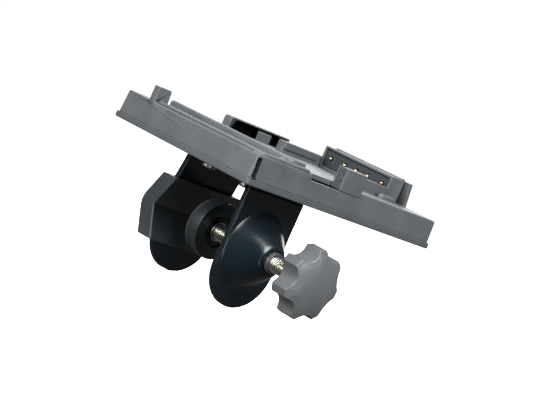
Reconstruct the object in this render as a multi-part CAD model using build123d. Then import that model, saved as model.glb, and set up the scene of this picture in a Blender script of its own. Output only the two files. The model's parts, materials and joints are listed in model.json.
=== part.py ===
from build123d import *
import os
from math import cos, pi, radians, sin, sqrt, tan

# Battery plate on a pole clamp. Millimetres, +Z up.
# The origin is on the clamp screw's axis, midway between the clamp's two legs.
# The plate lies above the clamp. A battery slides onto it along +X, up to the contacts.
# A pole is gripped along X, between the V jaw at +Y and the swivel pad on the screw.
# "Plate coordinates" count x from the plate's -X end, y from its middle and z from its back.

# ---- Where the clamp sits under the plate
CLAMP_X = 50.5          # plate's -X end to the clamp screw's axis
CLAMP_DROP = 31.8       # plate's back down to the clamp screw's axis

# ---- Plate
PLATE_LENGTH = 141.0
PLATE_WIDTH = 99.0
PLATE_CORNER = 1.5
BASE_THICK = 2.9        # base plate, which is also the flange round the foot of the case
BASE_CHAMFER = 0.4
CASE_INSET = 0.8        # case wall stands this far inside the flange
CASE_DRAFT = 3.0        # degrees
CASE_EDGE = 1.0         # rounding of the deck's outer edge
WALL = 2.4
DECK_Z = 14.4           # top of the deck above the plate's back
ROOT = 0.5              # what stands on the deck starts this far inside it
RIM_WIDTH = 2.8
RIM_RISE = 1.4
RIM_GAP = 0.9           # rim ridge to the edge of the deck
RIM_BEND = 3.0
RIM_TO_FIN = 2.5
RIM_TO_NOTCH = 2.2
INNER_RIDGE_X = 30.0
INNER_RIDGE_RISE = 3.0
INNER_RIDGE_WIDTH = 4.0
INNER_RIDGE_BEND = 4.0
INNER_RIDGE_OFFSET = 7.0    # its turned end to the rim ridge
INNER_RIDGE_END = 10.0      # length of its turned end
INNER_RIDGE_TO_EDGE = 2.3
LUMP_LENGTH = 9.0
LUMP_WIDTH = 4.0
LUMP_RISE = 2.4
LUMP_BEHIND_RAIL = 2.9      # middle of the lump outside the rail
CORNER_SLOT_WIDTH = 2.8     # upright slot in the near wall, beside the corner
CORNER_SLOT_FROM_END = 1.2
CORNER_SLOT_MARGIN = 0.5    # wall left above and below it

# ---- Guide rails for the battery's wedge
RAIL_HEIGHT = 5.8
RAIL_LENGTH = 30.5
RAIL_INNER = 22.0       # half the space between the rails
RAIL_WIDTH = 6.1
RAIL_NOSE = 2.2
RAIL_TO_HOUSING = 1.4
UNDERCUT_DEPTH = 0.9
UNDERCUT_HEIGHT = 2.2
UNDERCUT_STOP = 4.0     # solid length left at the rail's end

# ---- Side features
FIN_X = 1.3
FIN_LENGTH = 8.0
FIN_Y = 28.1
FIN_WIDTH = 4.0
FIN_RISE = 1.6          # above the rails
FIN_SPREAD = 0.9        # the foot is longer than the top
HOOD_LENGTH = 46.5
HOOD_FROM_HOUSING = 8.4
HOOD_DEPTH = 5.6
HOOD_RISE = 0.8         # above the rails
HOOD_SKIN = 0.9
HOOD_CORNER = 2.0
HOOD_MOUTH_START = 1.4  # solid length at its -X end, at the deck
HOOD_MOUTH_SLANT = 2.4
HOOD_MOUTH_STOP = 2.0
BACK_WALL_HALF = 28.0
BACK_WALL_HEIGHT = 12.0
BACK_WALL_THICK = 2.6
BACK_WALL_LEAN = 2.2
BACK_WALL_SETBACK = 0.3
SOFT_EDGE = 0.4         # small rounding of upright features

# ---- Contacts
HOUSING_SETBACK = 18.6  # its front to the plate's +X end
HOUSING_DEPTH = 10.7
HOUSING_HALF = 24.7
HOUSING_HEIGHT = 12.0
HOUSING_SKIN = 1.4
HOUSING_CREST = 0.8     # rear strip stands this much higher
CREST_LENGTH = 2.6
BLOCK_RECESS = 1.0      # contact block sits this far behind the housing's front
BLOCK_THICK = 5.0
BLOCK_GAP = 0.1         # between the block and the housing
BLOCK_EDGE = 0.9
BOARD_THICK = 1.6
BOARD_GAP = 0.6         # between the board's ends and the housing
WIRE_SLOT_MARGIN = 3.0
PIN_HEIGHT = 6.5        # above the deck
PIN_Y = (-18.9, -8.5, 0.0, 8.5, 18.9)
PIN_TIP_R = 0.8
PIN_COLLAR_R = 1.15
PIN_COLLAR_LENGTH = 1.0
PIN_TAIL_R = 0.45
PIN_TAIL_LENGTH = 2.0
PIN_PROUD = 1.1         # tip ahead of the block's front at rest
PIN_WELL_R = 1.3
PIN_WELL_DEPTH = 0.5
PIN_GUIDE = 1.0         # length of the bore that guides the tip
TAIL_GAP = 0.15         # round the tail, in the spring and the board
FIT = 0.05              # radial clearance of a running fit
TOUCH = 0.02            # gap between faces that only just meet

# ---- Release slider, bar and latch
SLIDER_FROM_HOUSING = 61.7
SLIDER_LENGTH = 15.8
SLIDER_DEPTH = 6.2
SLIDER_HEIGHT = 8.4     # above the deck
SLIDER_TRAVEL = 10.0
SLIDER_GAP = 0.3        # between the slider and the edges of its notch
SLIDER_LIFT = 0.15      # between the slider and the near wall's top
GRIP_GROOVES = 4
GRIP_R = 0.25
GRIP_FIRST = 1.2
GRIP_PITCH = 1.3
FOOT_THICK = 2.6
FOOT_INSET = 2.0
NOTCH_DROP = 0.4        # near wall's top inside the notch, below the deck's underside
NOTCH_AHEAD = 21.3      # open length of the notch ahead of the slider
BAR_THICK = 1.6
BAR_ARM_WIDTH = 5.0
BAR_STRIP_WIDTH = 10.0
BAR_STRIP_BEHIND = 8.25     # strip's -X edge to the latch pin
BAR_CLEAR = 0.4         # over the nuts and screw ends
BAR_RIB_GAP = 0.1
BAR_RIB_HALF = 1.0
BAR_RIB_Y = (-20.0, 20.0)
BAR_EYE = 5.0           # bar beyond the ends of the latch's slot
LATCH_FROM_HOOD_END = 25.0
LATCH_LENGTH = 10.5
LATCH_THICK = 1.4
LATCH_HEADROOM = 0.4    # under the hood's skin
LATCH_SLOPE = 1.2
LATCH_LIP = 0.4
LATCH_TRAVEL = 2.0
LATCH_GAP = 0.4         # between the tongue and the far wall, when it is drawn back
LATCH_SIDE_GAP = 0.4
LATCH_FOOT_HALF = 4.0
LATCH_PIN_R = 1.5
LATCH_PIN_BEHIND = 4.0  # latch pin inside the tongue's front
SPRING_R = 2.0
SPRING_WIRE = 0.5
SPRING_LENGTH = 17.0
SPRING_POST = 2.0
SPRING_POST_HALF = 3.0

# ---- Clamp bracket, bent from steel strip
SHEET = 3.0
BRACKET_HALF = 23.5     # outer faces of the bracket's bend, from its middle
LEG_WIDTH = 40.0
LEG_BOTTOM = -29.2      # lowest point of the round leg ends
JOGGLE = 2.4            # jaw leg leans out by this much below the bend
BEND_R = 3.0            # at mid thickness
CONE_BASE_R = 18.8
CONE_HEIGHT = 14.3
CONE_LAND = 1.3         # flat ring round the bush at the cone's tip
CONE_ROOT = 0.5
CONE_INSIDE = 2.2       # the pressing's mouth is this much smaller inside
BUSH_WALL = 1.3
BUSH_PROUD = 1.7
BUSH_FLANGE = 1.0
BUSH_FLANGE_THICK = 1.0
BUSH_SEAT_GAP = 0.3

# ---- V jaw moulded round the leg
JAW_HALF_HEIGHT = 16.2
JAW_DEPTH = 7.5         # depth of the V
JAW_OVERHANG = 4.2      # beyond the leg's -X edge
JAW_OVERHANG_FAR = 5.8  # beyond the leg's +X edge
JAW_COVER = 3.4         # moulding over each face of the steel
JAW_APEX_R = 9.0

# ---- Screw, knob and pad
SCREW_R = 4.0
NECK_STEP = 1.0         # neck is this much smaller in radius
NECK_LENGTH = 3.7       # thread's end to the middle of the peened head
HEAD_STEP = 1.6         # peened head beyond the neck
HEAD_THICK = 1.0
PAD_R = 14.5
PAD_BACK_Y = 2.0
PAD_THICK = 7.2
PAD_EDGE = 0.8
PAD_FACE_THICK = 1.8
PAD_FACE_INSET = 0.4
PAD_FACE_EDGE = 0.6
PAD_RING_WIDTH = 1.2
PAD_RING_SINK = 0.7     # ring's back below the pad's back
PAD_MOAT = 1.4          # between the ring and the recess's wall
PAD_RECESS_DEPTH = 1.5
WASHER_STEP = 1.2       # washer beyond the thread
WASHER_THICK = 0.8
WASHER_GAP = 0.1
PAD_CLEAR = 0.5         # between the washer and the pad's ring
SHOULDER_IN = 0.2       # thread's end inside the pad's back
NECK_GAP = 0.4          # round the neck, so that the pad can tilt
HEAD_GAP = 0.6          # round the peened head
SWING_GAP = 0.3         # under the peened head
KNOB_REAR_Y = -56.4
KNOB_R = 17.6
KNOB_WALL = 10.0
KNOB_DOME = 4.0
KNOB_LOBES = 7
KNOB_PHASE = -2.6       # degrees, from +X towards +Z
KNOB_TIP_R = 0.7
SCALLOP_R = 7.0
SCALLOP_BEYOND = 3.4    # scallop centres outside the knob's radius
INSERT_WALL = 2.6       # hex insert's corners beyond the screw
INSERT_LENGTH = 7.0
INSERT_FLOOR = 1.0      # screw's end stops this far short of the insert's

# ---- Fasteners
CASE_SCREW_IN = 8.0     # corner screws from the plate's ends
CASE_SCREW_SIDE = 9.0   # all case screws from the plate's sides
FAR_SCREW_X = 52.0
NEAR_SCREW_FROM_END = 29.0
CASE_SCREW_R = 1.45
CASE_SCREW_GAP = 0.4    # screw tip to the underside of the deck
CASE_POST_R = 3.2
CASE_HEAD_R = 2.7
CASE_HEAD_THICK = 1.2
HOLE_GAP = 0.25         # radial clearance of a screw hole
BRACKET_SCREW_X = 13.0
BRACKET_SCREW_Y = 14.0
BRACKET_SCREW_R = 1.95
BRACKET_HEAD_R = 3.6
BRACKET_HEAD_THICK = 2.4
BRACKET_SCREW_END = 0.6     # beyond the nut
DRIVE_R = 1.3
NUT_R = 4.0
NUT_THICK = 3.2
HOUSING_SCREW_Y = 21.0
HOUSING_SCREW_BEHIND = 2.5  # from the housing's front
HOUSING_SCREW_R = 1.45
HOUSING_SCREW_DEPTH = 3.0
HOUSING_HEAD_R = 2.6
HOUSING_HEAD_THICK = 1.6

# ---- Output socket in the far wall
SOCKET_X = 30.0
SOCKET_R = 3.9
SOCKET_FLANGE = 0.3
SOCKET_FLANGE_THICK = 1.6
SOCKET_BORE_R = 2.75
SOCKET_LENGTH = 11.0
SOCKET_BACK = 2.0       # solid behind the bore
SOCKET_PIN_R = 1.0
SOCKET_PIN_SINK = 1.0
WIRE_R = 0.7
WIRE_Y = (-17.0, 17.0)
WIRE_BEND = 2.2
WIRE_DROP = 1.6         # below the ceiling
WIRE_LANE = 13.7        # first lane inside the socket's tail
WIRE_STEP = 3.0
WIRE_SPREAD = 1.6

SLOPE = tan(radians(CASE_DRAFT))
CASE_LENGTH = PLATE_LENGTH - 2 * CASE_INSET
CASE_WIDTH = PLATE_WIDTH - 2 * CASE_INSET
CASE_HALF = CASE_WIDTH / 2
DECK_INSET = CASE_INSET + (DECK_Z - BASE_THICK) * SLOPE     # deck's edge inside the flange
DECK_HALF = PLATE_WIDTH / 2 - DECK_INSET
CEILING_Z = DECK_Z - WALL
SEAT_Z = DECK_Z + RAIL_HEIGHT                               # where a battery's back slides
HOUSING_FRONT = PLATE_LENGTH - HOUSING_SETBACK
HOUSING_TOP = DECK_Z + HOUSING_HEIGHT
HOUSING_SCREW_X = HOUSING_FRONT + HOUSING_SCREW_BEHIND
BLOCK_FRONT = HOUSING_FRONT + BLOCK_RECESS
BOARD_FRONT = BLOCK_FRONT + BLOCK_THICK
BLOCK_HALF = HOUSING_HALF - HOUSING_SKIN
BLOCK_LOW = DECK_Z + HOUSING_SKIN
BLOCK_HIGH = HOUSING_TOP - HOUSING_SKIN
PIN_Z = DECK_Z + PIN_HEIGHT
COLLAR_X = BLOCK_FRONT + PIN_GUIDE + TOUCH
RAIL_END = HOUSING_FRONT - RAIL_TO_HOUSING
RAIL_START = RAIL_END - RAIL_LENGTH
HOOD_END = HOUSING_FRONT - HOOD_FROM_HOUSING
HOOD_START = HOOD_END - HOOD_LENGTH
HOOD_BACK = DECK_HALF - HOOD_SKIN
HOOD_FRONT = DECK_HALF - HOOD_DEPTH
HOOD_TOP = SEAT_Z + HOOD_RISE
SLIDER_X = HOUSING_FRONT - SLIDER_FROM_HOUSING
SLIDER_TOP = DECK_Z + SLIDER_HEIGHT
NOTCH_Z = CEILING_Z - NOTCH_DROP
NOTCH_START = SLIDER_X - NOTCH_AHEAD
NOTCH_SLOPE = (NOTCH_Z - BASE_THICK) * SLOPE
FOOT_Y = -CASE_HALF + WALL + NOTCH_SLOPE + SLIDER_GAP       # slider's foot, inside the near wall
INNER_WALL_HALF = DECK_HALF - WALL                          # far wall's inside face, at the ceiling
LATCH_X = HOOD_END - LATCH_FROM_HOOD_END
LATCH_FRONT = INNER_WALL_HALF - LATCH_GAP - LATCH_TRAVEL - LATCH_THICK
LATCH_BACK = LATCH_FRONT + LATCH_THICK
LATCH_TOP = HOOD_TOP - HOOD_SKIN - LATCH_HEADROOM
LATCH_PIN_X = LATCH_X + LATCH_LENGTH / 2
LATCH_PIN_Y = LATCH_FRONT - LATCH_PIN_BEHIND
BAR_Z = BASE_THICK + NUT_THICK + BRACKET_SCREW_END + BAR_CLEAR
BAR_TOP = BAR_Z + BAR_THICK
BAR_STRIP_X = LATCH_PIN_X - BAR_STRIP_BEHIND
SPRING_START = BAR_STRIP_X - SPRING_LENGTH
LEG_R = LEG_WIDTH / 2
LEG_CENTRE_Z = LEG_BOTTOM + LEG_R
JAW_LEG_Y = BRACKET_HALF + JOGGLE - SHEET / 2               # mid thickness of the jaw leg
BUSH_R = SCREW_R + BUSH_WALL
CONE_TOP_R = BUSH_R + CONE_LAND
CONE_TIP_Y = -BRACKET_HALF - CONE_HEIGHT
BUSH_FRONT_Y = CONE_TIP_Y - BUSH_PROUD
NECK_R = SCREW_R - NECK_STEP
HEAD_R = NECK_R + HEAD_STEP
WASHER_R = SCREW_R + WASHER_STEP
SHOULDER_Y = PAD_BACK_Y + SHOULDER_IN                       # end of the full thread, at rest
HEAD_Y = SHOULDER_Y + NECK_LENGTH
PAD_FRONT_Y = PAD_BACK_Y + PAD_THICK
PAD_FLOOR_Y = PAD_BACK_Y + PAD_RECESS_DEPTH
PAD_RING_INNER_R = WASHER_R + PAD_CLEAR
PAD_RING_OUTER_R = PAD_RING_INNER_R + PAD_RING_WIDTH
PAD_RECESS_R = PAD_RING_OUTER_R + PAD_MOAT
INSERT_R = SCREW_R + INSERT_WALL
SCREW_END_Y = KNOB_REAR_Y - INSERT_LENGTH + INSERT_FLOOR
SOCKET_Z = (BASE_THICK + CEILING_Z) / 2


# ---- Helpers

def block(xs, ys, zs):
    """Box between two corners, given as low and high values along each axis."""
    size = [high - low for low, high in (xs, ys, zs)]
    middle = [(high + low) / 2 for low, high in (xs, ys, zs)]
    return Pos(*middle) * Box(*size)


def rod_x(radius, start, end, y=0.0, z=0.0):
    """Cylinder along X."""
    return Pos((start + end) / 2, y, z) * Rot(0, 90, 0) * Cylinder(radius, abs(end - start))


def rod_y(radius, start, end, x=0.0, z=0.0):
    """Cylinder along Y."""
    return Pos(x, (start + end) / 2, z) * Rot(90, 0, 0) * Cylinder(radius, abs(end - start))


def rod_z(radius, start, end, x=0.0, y=0.0):
    """Cylinder along Z."""
    return Pos(x, y, (start + end) / 2) * Cylinder(radius, abs(end - start))


def prism_x(points, start, end):
    """Polygon of (y, z) points, extruded along X."""
    face = make_face(Polyline(*[(start, y, z) for y, z in points], close=True))
    return extrude(face, amount=end - start, dir=(1, 0, 0))


def prism_y(points, start, end):
    """Polygon of (x, z) points, extruded along Y."""
    face = make_face(Polyline(*[(x, start, z) for x, z in points], close=True))
    return extrude(face, amount=end - start, dir=(0, 1, 0))


def turned(points):
    """Solid turned about the Y axis from a closed outline of (radius, y) points."""
    return revolve(make_face(Polyline(*[(r, y, 0) for r, y in points], close=True)), Axis.Y, 360)


def joined(pieces):
    """Union of a list of shapes."""
    total = pieces[0]
    for piece in pieces[1:]:
        total = total + piece
    return total


def ridge(points, bend, width, top):
    """Round-topped rib on the deck along a path, with round ends."""
    path = FilletPolyline(*points, radius=bend) if len(points) > 2 else Polyline(*points)
    outline = offset(Wire(path.edges()), amount=width / 2, kind=Kind.ARC)
    root = DECK_Z - WALL / 2
    rib = extrude(Pos(0, 0, root) * make_face(outline.edges()), amount=top - root)
    upper = rib.edges().group_by(Axis.Z)[-1]
    return fillet(upper, radius=min(width * 0.42, (top - DECK_Z) * 0.9))


def on_clamp(shape):
    """Move a shape from plate coordinates to the part's own frame."""
    return Pos(-CLAMP_X, 0, CLAMP_DROP) * shape


# ---- Plate

def case_body():
    """Hollow moulded case with drafted walls, open underneath."""
    middle = Pos(PLATE_LENGTH / 2, 0, BASE_THICK)
    outer = extrude(
        middle * RectangleRounded(CASE_LENGTH, CASE_WIDTH, PLATE_CORNER),
        amount=DECK_Z - BASE_THICK, taper=CASE_DRAFT)
    outer = fillet(outer.edges().group_by(Axis.Z)[-1], radius=CASE_EDGE)
    inner = extrude(
        middle * RectangleRounded(CASE_LENGTH - 2 * WALL, CASE_WIDTH - 2 * WALL, PLATE_CORNER),
        amount=CEILING_Z - BASE_THICK, taper=CASE_DRAFT)
    return outer - inner


def guide_rail(side):
    """One rail with an undercut along its inner face; side is -1 or 1."""
    ys = sorted((side * RAIL_INNER, side * (RAIL_INNER + RAIL_WIDTH)))
    rail = block((RAIL_START, RAIL_END), ys, (DECK_Z - ROOT, SEAT_Z))
    rail = fillet(rail.edges().filter_by(Axis.Z).group_by(Axis.X)[-1], radius=RAIL_NOSE)
    rail = fillet(rail.edges().group_by(Axis.Z)[-1], radius=SOFT_EDGE)
    groove = sorted((side * (RAIL_INNER - 1), side * (RAIL_INNER + UNDERCUT_DEPTH)))
    heights = (DECK_Z, DECK_Z + UNDERCUT_HEIGHT)
    return rail - block((RAIL_START - 1, RAIL_END - UNDERCUT_STOP), groove, heights)


def latch_hood():
    """Hood at the far edge that the latch tongue works in, open towards the battery."""
    hood = block((HOOD_START, HOOD_END), (HOOD_FRONT, DECK_HALF), (DECK_Z - ROOT, HOOD_TOP))
    for end, radius in ((0, HOOD_CORNER), (-1, SOFT_EDGE)):
        upright = hood.edges().filter_by(Axis.Y).group_by(Axis.X)[end]
        hood = fillet(upright.sort_by(Axis.Z)[-1], radius=radius)
    ceiling = HOOD_TOP - HOOD_SKIN
    start = HOOD_START + HOOD_MOUTH_START
    stop = HOOD_END - HOOD_MOUTH_STOP
    hollow = prism_y(
        [(start, DECK_Z), (start + HOOD_MOUTH_SLANT, ceiling), (stop, ceiling), (stop, DECK_Z)],
        HOOD_FRONT - 1, HOOD_BACK)
    return hood - hollow


def back_wall():
    """Leaning wall behind the contact housing."""
    foot = PLATE_LENGTH - DECK_INSET - BACK_WALL_SETBACK - CASE_EDGE
    top = DECK_Z + BACK_WALL_HEIGHT
    return prism_y(
        [(foot - BACK_WALL_THICK, DECK_Z - ROOT), (foot, DECK_Z - ROOT),
         (foot - BACK_WALL_LEAN, top), (foot - BACK_WALL_LEAN - BACK_WALL_THICK, top)],
        -BACK_WALL_HALF, BACK_WALL_HALF)


def fin():
    """Small upright fin at the -X edge."""
    right = FIN_X + FIN_LENGTH
    low = DECK_Z - ROOT - CASE_EDGE
    top = SEAT_Z + FIN_RISE
    shape = prism_y(
        [(FIN_X, low), (right + FIN_SPREAD, low), (right, top), (FIN_X, top)],
        FIN_Y, FIN_Y + FIN_WIDTH)
    return fillet(shape.edges().group_by(Axis.Z)[-1], radius=SOFT_EDGE)


def deck_ridges():
    """Rim ridge round the near corner, the taller ridge inside it and a low lump."""
    edge_x = DECK_INSET + RIM_GAP + RIM_WIDTH / 2
    edge_y = -DECK_HALF + RIM_GAP + RIM_WIDTH / 2
    rim = ridge(
        [(edge_x, FIN_Y - RIM_TO_FIN), (edge_x, edge_y), (NOTCH_START - RIM_TO_NOTCH, edge_y)],
        RIM_BEND, RIM_WIDTH, DECK_Z + RIM_RISE)
    turn_y = edge_y + INNER_RIDGE_OFFSET
    inner = ridge(
        [(INNER_RIDGE_X, DECK_HALF - INNER_RIDGE_TO_EDGE), (INNER_RIDGE_X, turn_y),
         (INNER_RIDGE_X + INNER_RIDGE_END, turn_y)],
        INNER_RIDGE_BEND, INNER_RIDGE_WIDTH, DECK_Z + INNER_RIDGE_RISE)
    lump_y = -RAIL_INNER - RAIL_WIDTH - LUMP_BEHIND_RAIL
    lump_line = [(RAIL_END - LUMP_LENGTH, lump_y), (RAIL_END, lump_y)]
    lump = ridge(lump_line, SOFT_EDGE, LUMP_WIDTH, DECK_Z + LUMP_RISE)
    return [rim, inner, lump]


def case_screw_points():
    """Centres of the case screws: four near the corners and one along each side."""
    side = PLATE_WIDTH / 2 - CASE_SCREW_SIDE
    ends = (CASE_SCREW_IN, PLATE_LENGTH - CASE_SCREW_IN)
    corners = [(x, y) for x in ends for y in (-side, side)]
    return corners + [(FAR_SCREW_X, side), (PLATE_LENGTH - NEAR_SCREW_FROM_END, -side)]


def screw_posts():
    """Posts under the deck that the case screws cut into."""
    posts = []
    for x, y in case_screw_points():
        post = rod_z(CASE_POST_R, BASE_THICK, CEILING_Z + ROOT, x, y)
        posts.append(post - rod_z(CASE_SCREW_R + FIT, 0, CEILING_Z, x, y))
    return posts


def slider_notch():
    """Notch through the near wall and deck that the slider runs in."""
    end = SLIDER_X + SLIDER_LENGTH + SLIDER_GAP
    back = -DECK_HALF + SLIDER_DEPTH + SLIDER_GAP
    return block((NOTCH_START, end), (-PLATE_WIDTH, back), (NOTCH_Z, HOUSING_TOP))


def top_case():
    """The whole upper moulding."""
    standing = [guide_rail(-1), guide_rail(1), latch_hood(), back_wall(), fin()]
    case = joined([case_body()] + standing + deck_ridges() + screw_posts())
    case = case - slider_notch()
    through = (CEILING_Z - 1, DECK_Z + 1)
    latch_slot = block(
        (LATCH_X - LATCH_SIDE_GAP, LATCH_X + LATCH_LENGTH + LATCH_SIDE_GAP),
        (LATCH_FRONT - LATCH_SIDE_GAP, LATCH_BACK + LATCH_TRAVEL + LATCH_GAP), through)
    wire_half = BLOCK_HALF - WIRE_SLOT_MARGIN
    wire_slot = block((BOARD_FRONT, BOARD_FRONT + BOARD_THICK), (-wire_half, wire_half), through)
    slot_start = CASE_INSET + CORNER_SLOT_FROM_END
    corner_slot = block(
        (slot_start, slot_start + CORNER_SLOT_WIDTH), (-PLATE_WIDTH, -DECK_HALF + WALL + 1),
        (BASE_THICK + CORNER_SLOT_MARGIN, DECK_Z - CORNER_SLOT_MARGIN - CASE_EDGE))
    case = case - latch_slot - wire_slot - corner_slot
    for y in (-HOUSING_SCREW_Y, HOUSING_SCREW_Y):
        case = case - rod_z(HOUSING_SCREW_R + HOLE_GAP, *through, HOUSING_SCREW_X, y)
    return case - rod_y(SOCKET_R + BLOCK_GAP, DECK_HALF - WALL - 1, PLATE_WIDTH, SOCKET_X, SOCKET_Z)


def base_plate():
    """Flat base whose edge is the flange, with ribs that the bar slides on."""
    plate = extrude(
        Pos(PLATE_LENGTH / 2, 0, 0) * RectangleRounded(PLATE_LENGTH, PLATE_WIDTH, PLATE_CORNER),
        amount=BASE_THICK)
    plate = chamfer(plate.edges().group_by(Axis.Z)[0], length=BASE_CHAMFER)
    foot = BASE_THICK - ROOT
    arm_y = FOOT_Y + BAR_ARM_WIDTH / 2
    rib = (BAR_STRIP_X - SLIDER_TRAVEL, BAR_STRIP_X + BAR_STRIP_WIDTH)
    for y in (arm_y, *BAR_RIB_Y):
        plate = plate + block(rib, (y - BAR_RIB_HALF, y + BAR_RIB_HALF), (foot, BAR_Z - BAR_RIB_GAP))
    post = (SPRING_START - SPRING_POST, SPRING_START)
    plate = plate + block(post, (-SPRING_POST_HALF, SPRING_POST_HALF), (foot, BAR_TOP + SPRING_R))
    hole_r = CASE_SCREW_R + HOLE_GAP
    sink = Cone(CASE_HEAD_R + BLOCK_GAP, hole_r, CASE_HEAD_THICK)
    for x, y in case_screw_points():
        plate = plate - rod_z(hole_r, -1, BASE_THICK + 1, x, y) - Pos(x, y, CASE_HEAD_THICK / 2) * sink
    for x, y in bracket_screw_points():
        plate = plate - rod_z(BRACKET_SCREW_R + HOLE_GAP, -1, BASE_THICK + 1, x, y)
    return plate


def bracket_screw_points():
    """Centres of the bracket screws in plate coordinates."""
    return [(CLAMP_X + sx * BRACKET_SCREW_X, sy * BRACKET_SCREW_Y) for sx in (-1, 1) for sy in (-1, 1)]


def case_screws():
    """Countersunk screws up through the base into the case's posts."""
    screws = []
    for x, y in case_screw_points():
        head = Pos(x, y, CASE_HEAD_THICK / 2) * Cone(CASE_HEAD_R, CASE_SCREW_R, CASE_HEAD_THICK)
        drive = rod_z(CASE_HEAD_R / 3, -1, CASE_HEAD_THICK / 2, x, y)
        shank = rod_z(CASE_SCREW_R, CASE_HEAD_THICK / 2, CEILING_Z - CASE_SCREW_GAP, x, y)
        screws.append(head + shank - drive)
    return screws


def bracket_screws():
    """Pan head screws up through the bracket and the base."""
    screws = []
    low = -SHEET - BRACKET_HEAD_THICK
    for x, y in bracket_screw_points():
        head = rod_z(BRACKET_HEAD_R, low, -SHEET, x, y)
        head = fillet(head.edges().group_by(Axis.Z)[0], radius=BRACKET_HEAD_THICK * 0.4)
        shank = rod_z(BRACKET_SCREW_R, -SHEET, BASE_THICK + NUT_THICK + BRACKET_SCREW_END, x, y)
        screws.append(head + shank - rod_z(DRIVE_R, low - 1, low + BRACKET_HEAD_THICK / 2, x, y))
    return screws


def bracket_nuts():
    """Hex nuts inside the case."""
    nuts = []
    for x, y in bracket_screw_points():
        nut = extrude(Pos(x, y, BASE_THICK) * RegularPolygon(NUT_R, 6), amount=NUT_THICK)
        nuts.append(nut - rod_z(BRACKET_SCREW_R + FIT, 0, BASE_THICK + NUT_THICK + 1, x, y))
    return nuts


# ---- Contacts

def contact_housing():
    """Raised housing, open at the front, with a higher strip along its rear."""
    rear = HOUSING_FRONT + HOUSING_DEPTH
    body = block((HOUSING_FRONT, rear), (-HOUSING_HALF, HOUSING_HALF), (DECK_Z, HOUSING_TOP))
    crest = (HOUSING_TOP - ROOT, HOUSING_TOP + HOUSING_CREST)
    body = body + block((rear - CREST_LENGTH, rear), (-HOUSING_HALF, HOUSING_HALF), crest)
    inside = BOARD_FRONT + BOARD_THICK
    body = body - block((HOUSING_FRONT - 1, inside), (-BLOCK_HALF, BLOCK_HALF), (BLOCK_LOW, BLOCK_HIGH))
    wire_half = BLOCK_HALF - WIRE_SLOT_MARGIN
    body = body - block((BOARD_FRONT, inside), (-wire_half, wire_half), (DECK_Z - 1, BLOCK_LOW + 1))
    for y in (-HOUSING_SCREW_Y, HOUSING_SCREW_Y):
        body = body - rod_z(HOUSING_SCREW_R + FIT, DECK_Z - 1, BLOCK_LOW + 1, HOUSING_SCREW_X, y)
    return body


def housing_screws():
    """Screws up through the deck that hold the housing and the block in it."""
    screws = []
    for y in (-HOUSING_SCREW_Y, HOUSING_SCREW_Y):
        head = rod_z(HOUSING_HEAD_R, CEILING_Z - HOUSING_HEAD_THICK, CEILING_Z, HOUSING_SCREW_X, y)
        shank = rod_z(HOUSING_SCREW_R, CEILING_Z, BLOCK_LOW + HOUSING_SCREW_DEPTH, HOUSING_SCREW_X, y)
        screws.append(head + shank)
    return screws


def contact_block():
    """Insulating block with a stepped bore for each pin."""
    half = BLOCK_HALF - BLOCK_GAP
    body = block((BLOCK_FRONT, BOARD_FRONT), (-half, half), (BLOCK_LOW, BLOCK_HIGH - BLOCK_GAP))
    front = body.edges().filter_by(Axis.Y).group_by(Axis.X)[0]
    body = fillet(front.group_by(Axis.Z)[-1], radius=BLOCK_EDGE)
    for y in PIN_Y:
        body = body - rod_x(PIN_WELL_R, BLOCK_FRONT - 1, BLOCK_FRONT + PIN_WELL_DEPTH, y, PIN_Z)
        body = body - rod_x(PIN_TIP_R + FIT, BLOCK_FRONT, COLLAR_X, y, PIN_Z)
        body = body - rod_x(PIN_COLLAR_R + FIT, BLOCK_FRONT + PIN_GUIDE, BOARD_FRONT + 1, y, PIN_Z)
    for y in (-HOUSING_SCREW_Y, HOUSING_SCREW_Y):
        top = BLOCK_LOW + HOUSING_SCREW_DEPTH + BLOCK_GAP
        body = body - rod_z(HOUSING_SCREW_R + FIT, BLOCK_LOW - 1, top, HOUSING_SCREW_X, y)
    return body


def contact_board():
    """Circuit board behind the block that the contact springs press on."""
    half = BLOCK_HALF - BOARD_GAP
    rear = BOARD_FRONT + BOARD_THICK
    board = block((BOARD_FRONT, rear), (-half, half), (BLOCK_LOW + BLOCK_GAP, BLOCK_HIGH - BLOCK_GAP))
    for y in PIN_Y:
        board = board - rod_x(PIN_TAIL_R + TAIL_GAP, BOARD_FRONT - 1, rear + 1, y, PIN_Z)
    return board


def contact_pin(y):
    """Plunger with a round tip, a collar and a thin tail."""
    start = BLOCK_FRONT - PIN_PROUD
    behind = COLLAR_X + PIN_COLLAR_LENGTH
    ball = Pos(start + PIN_TIP_R, y, PIN_Z) * Sphere(PIN_TIP_R)
    tip = ball + rod_x(PIN_TIP_R, start + PIN_TIP_R, COLLAR_X + PIN_COLLAR_LENGTH / 2, y, PIN_Z)
    collar = rod_x(PIN_COLLAR_R, COLLAR_X, behind, y, PIN_Z)
    return tip + collar + rod_x(PIN_TAIL_R, behind - TAIL_GAP, behind + PIN_TAIL_LENGTH, y, PIN_Z)


def contact_spring(y):
    """Sleeve of the coil spring between a pin's collar and the board."""
    start = COLLAR_X + PIN_COLLAR_LENGTH
    sleeve = rod_x(PIN_COLLAR_R - FIT, start, BOARD_FRONT, y, PIN_Z)
    return sleeve - rod_x(PIN_TAIL_R + TAIL_GAP, start - 1, BOARD_FRONT + 1, y, PIN_Z)


# ---- Release slider and latch

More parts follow.
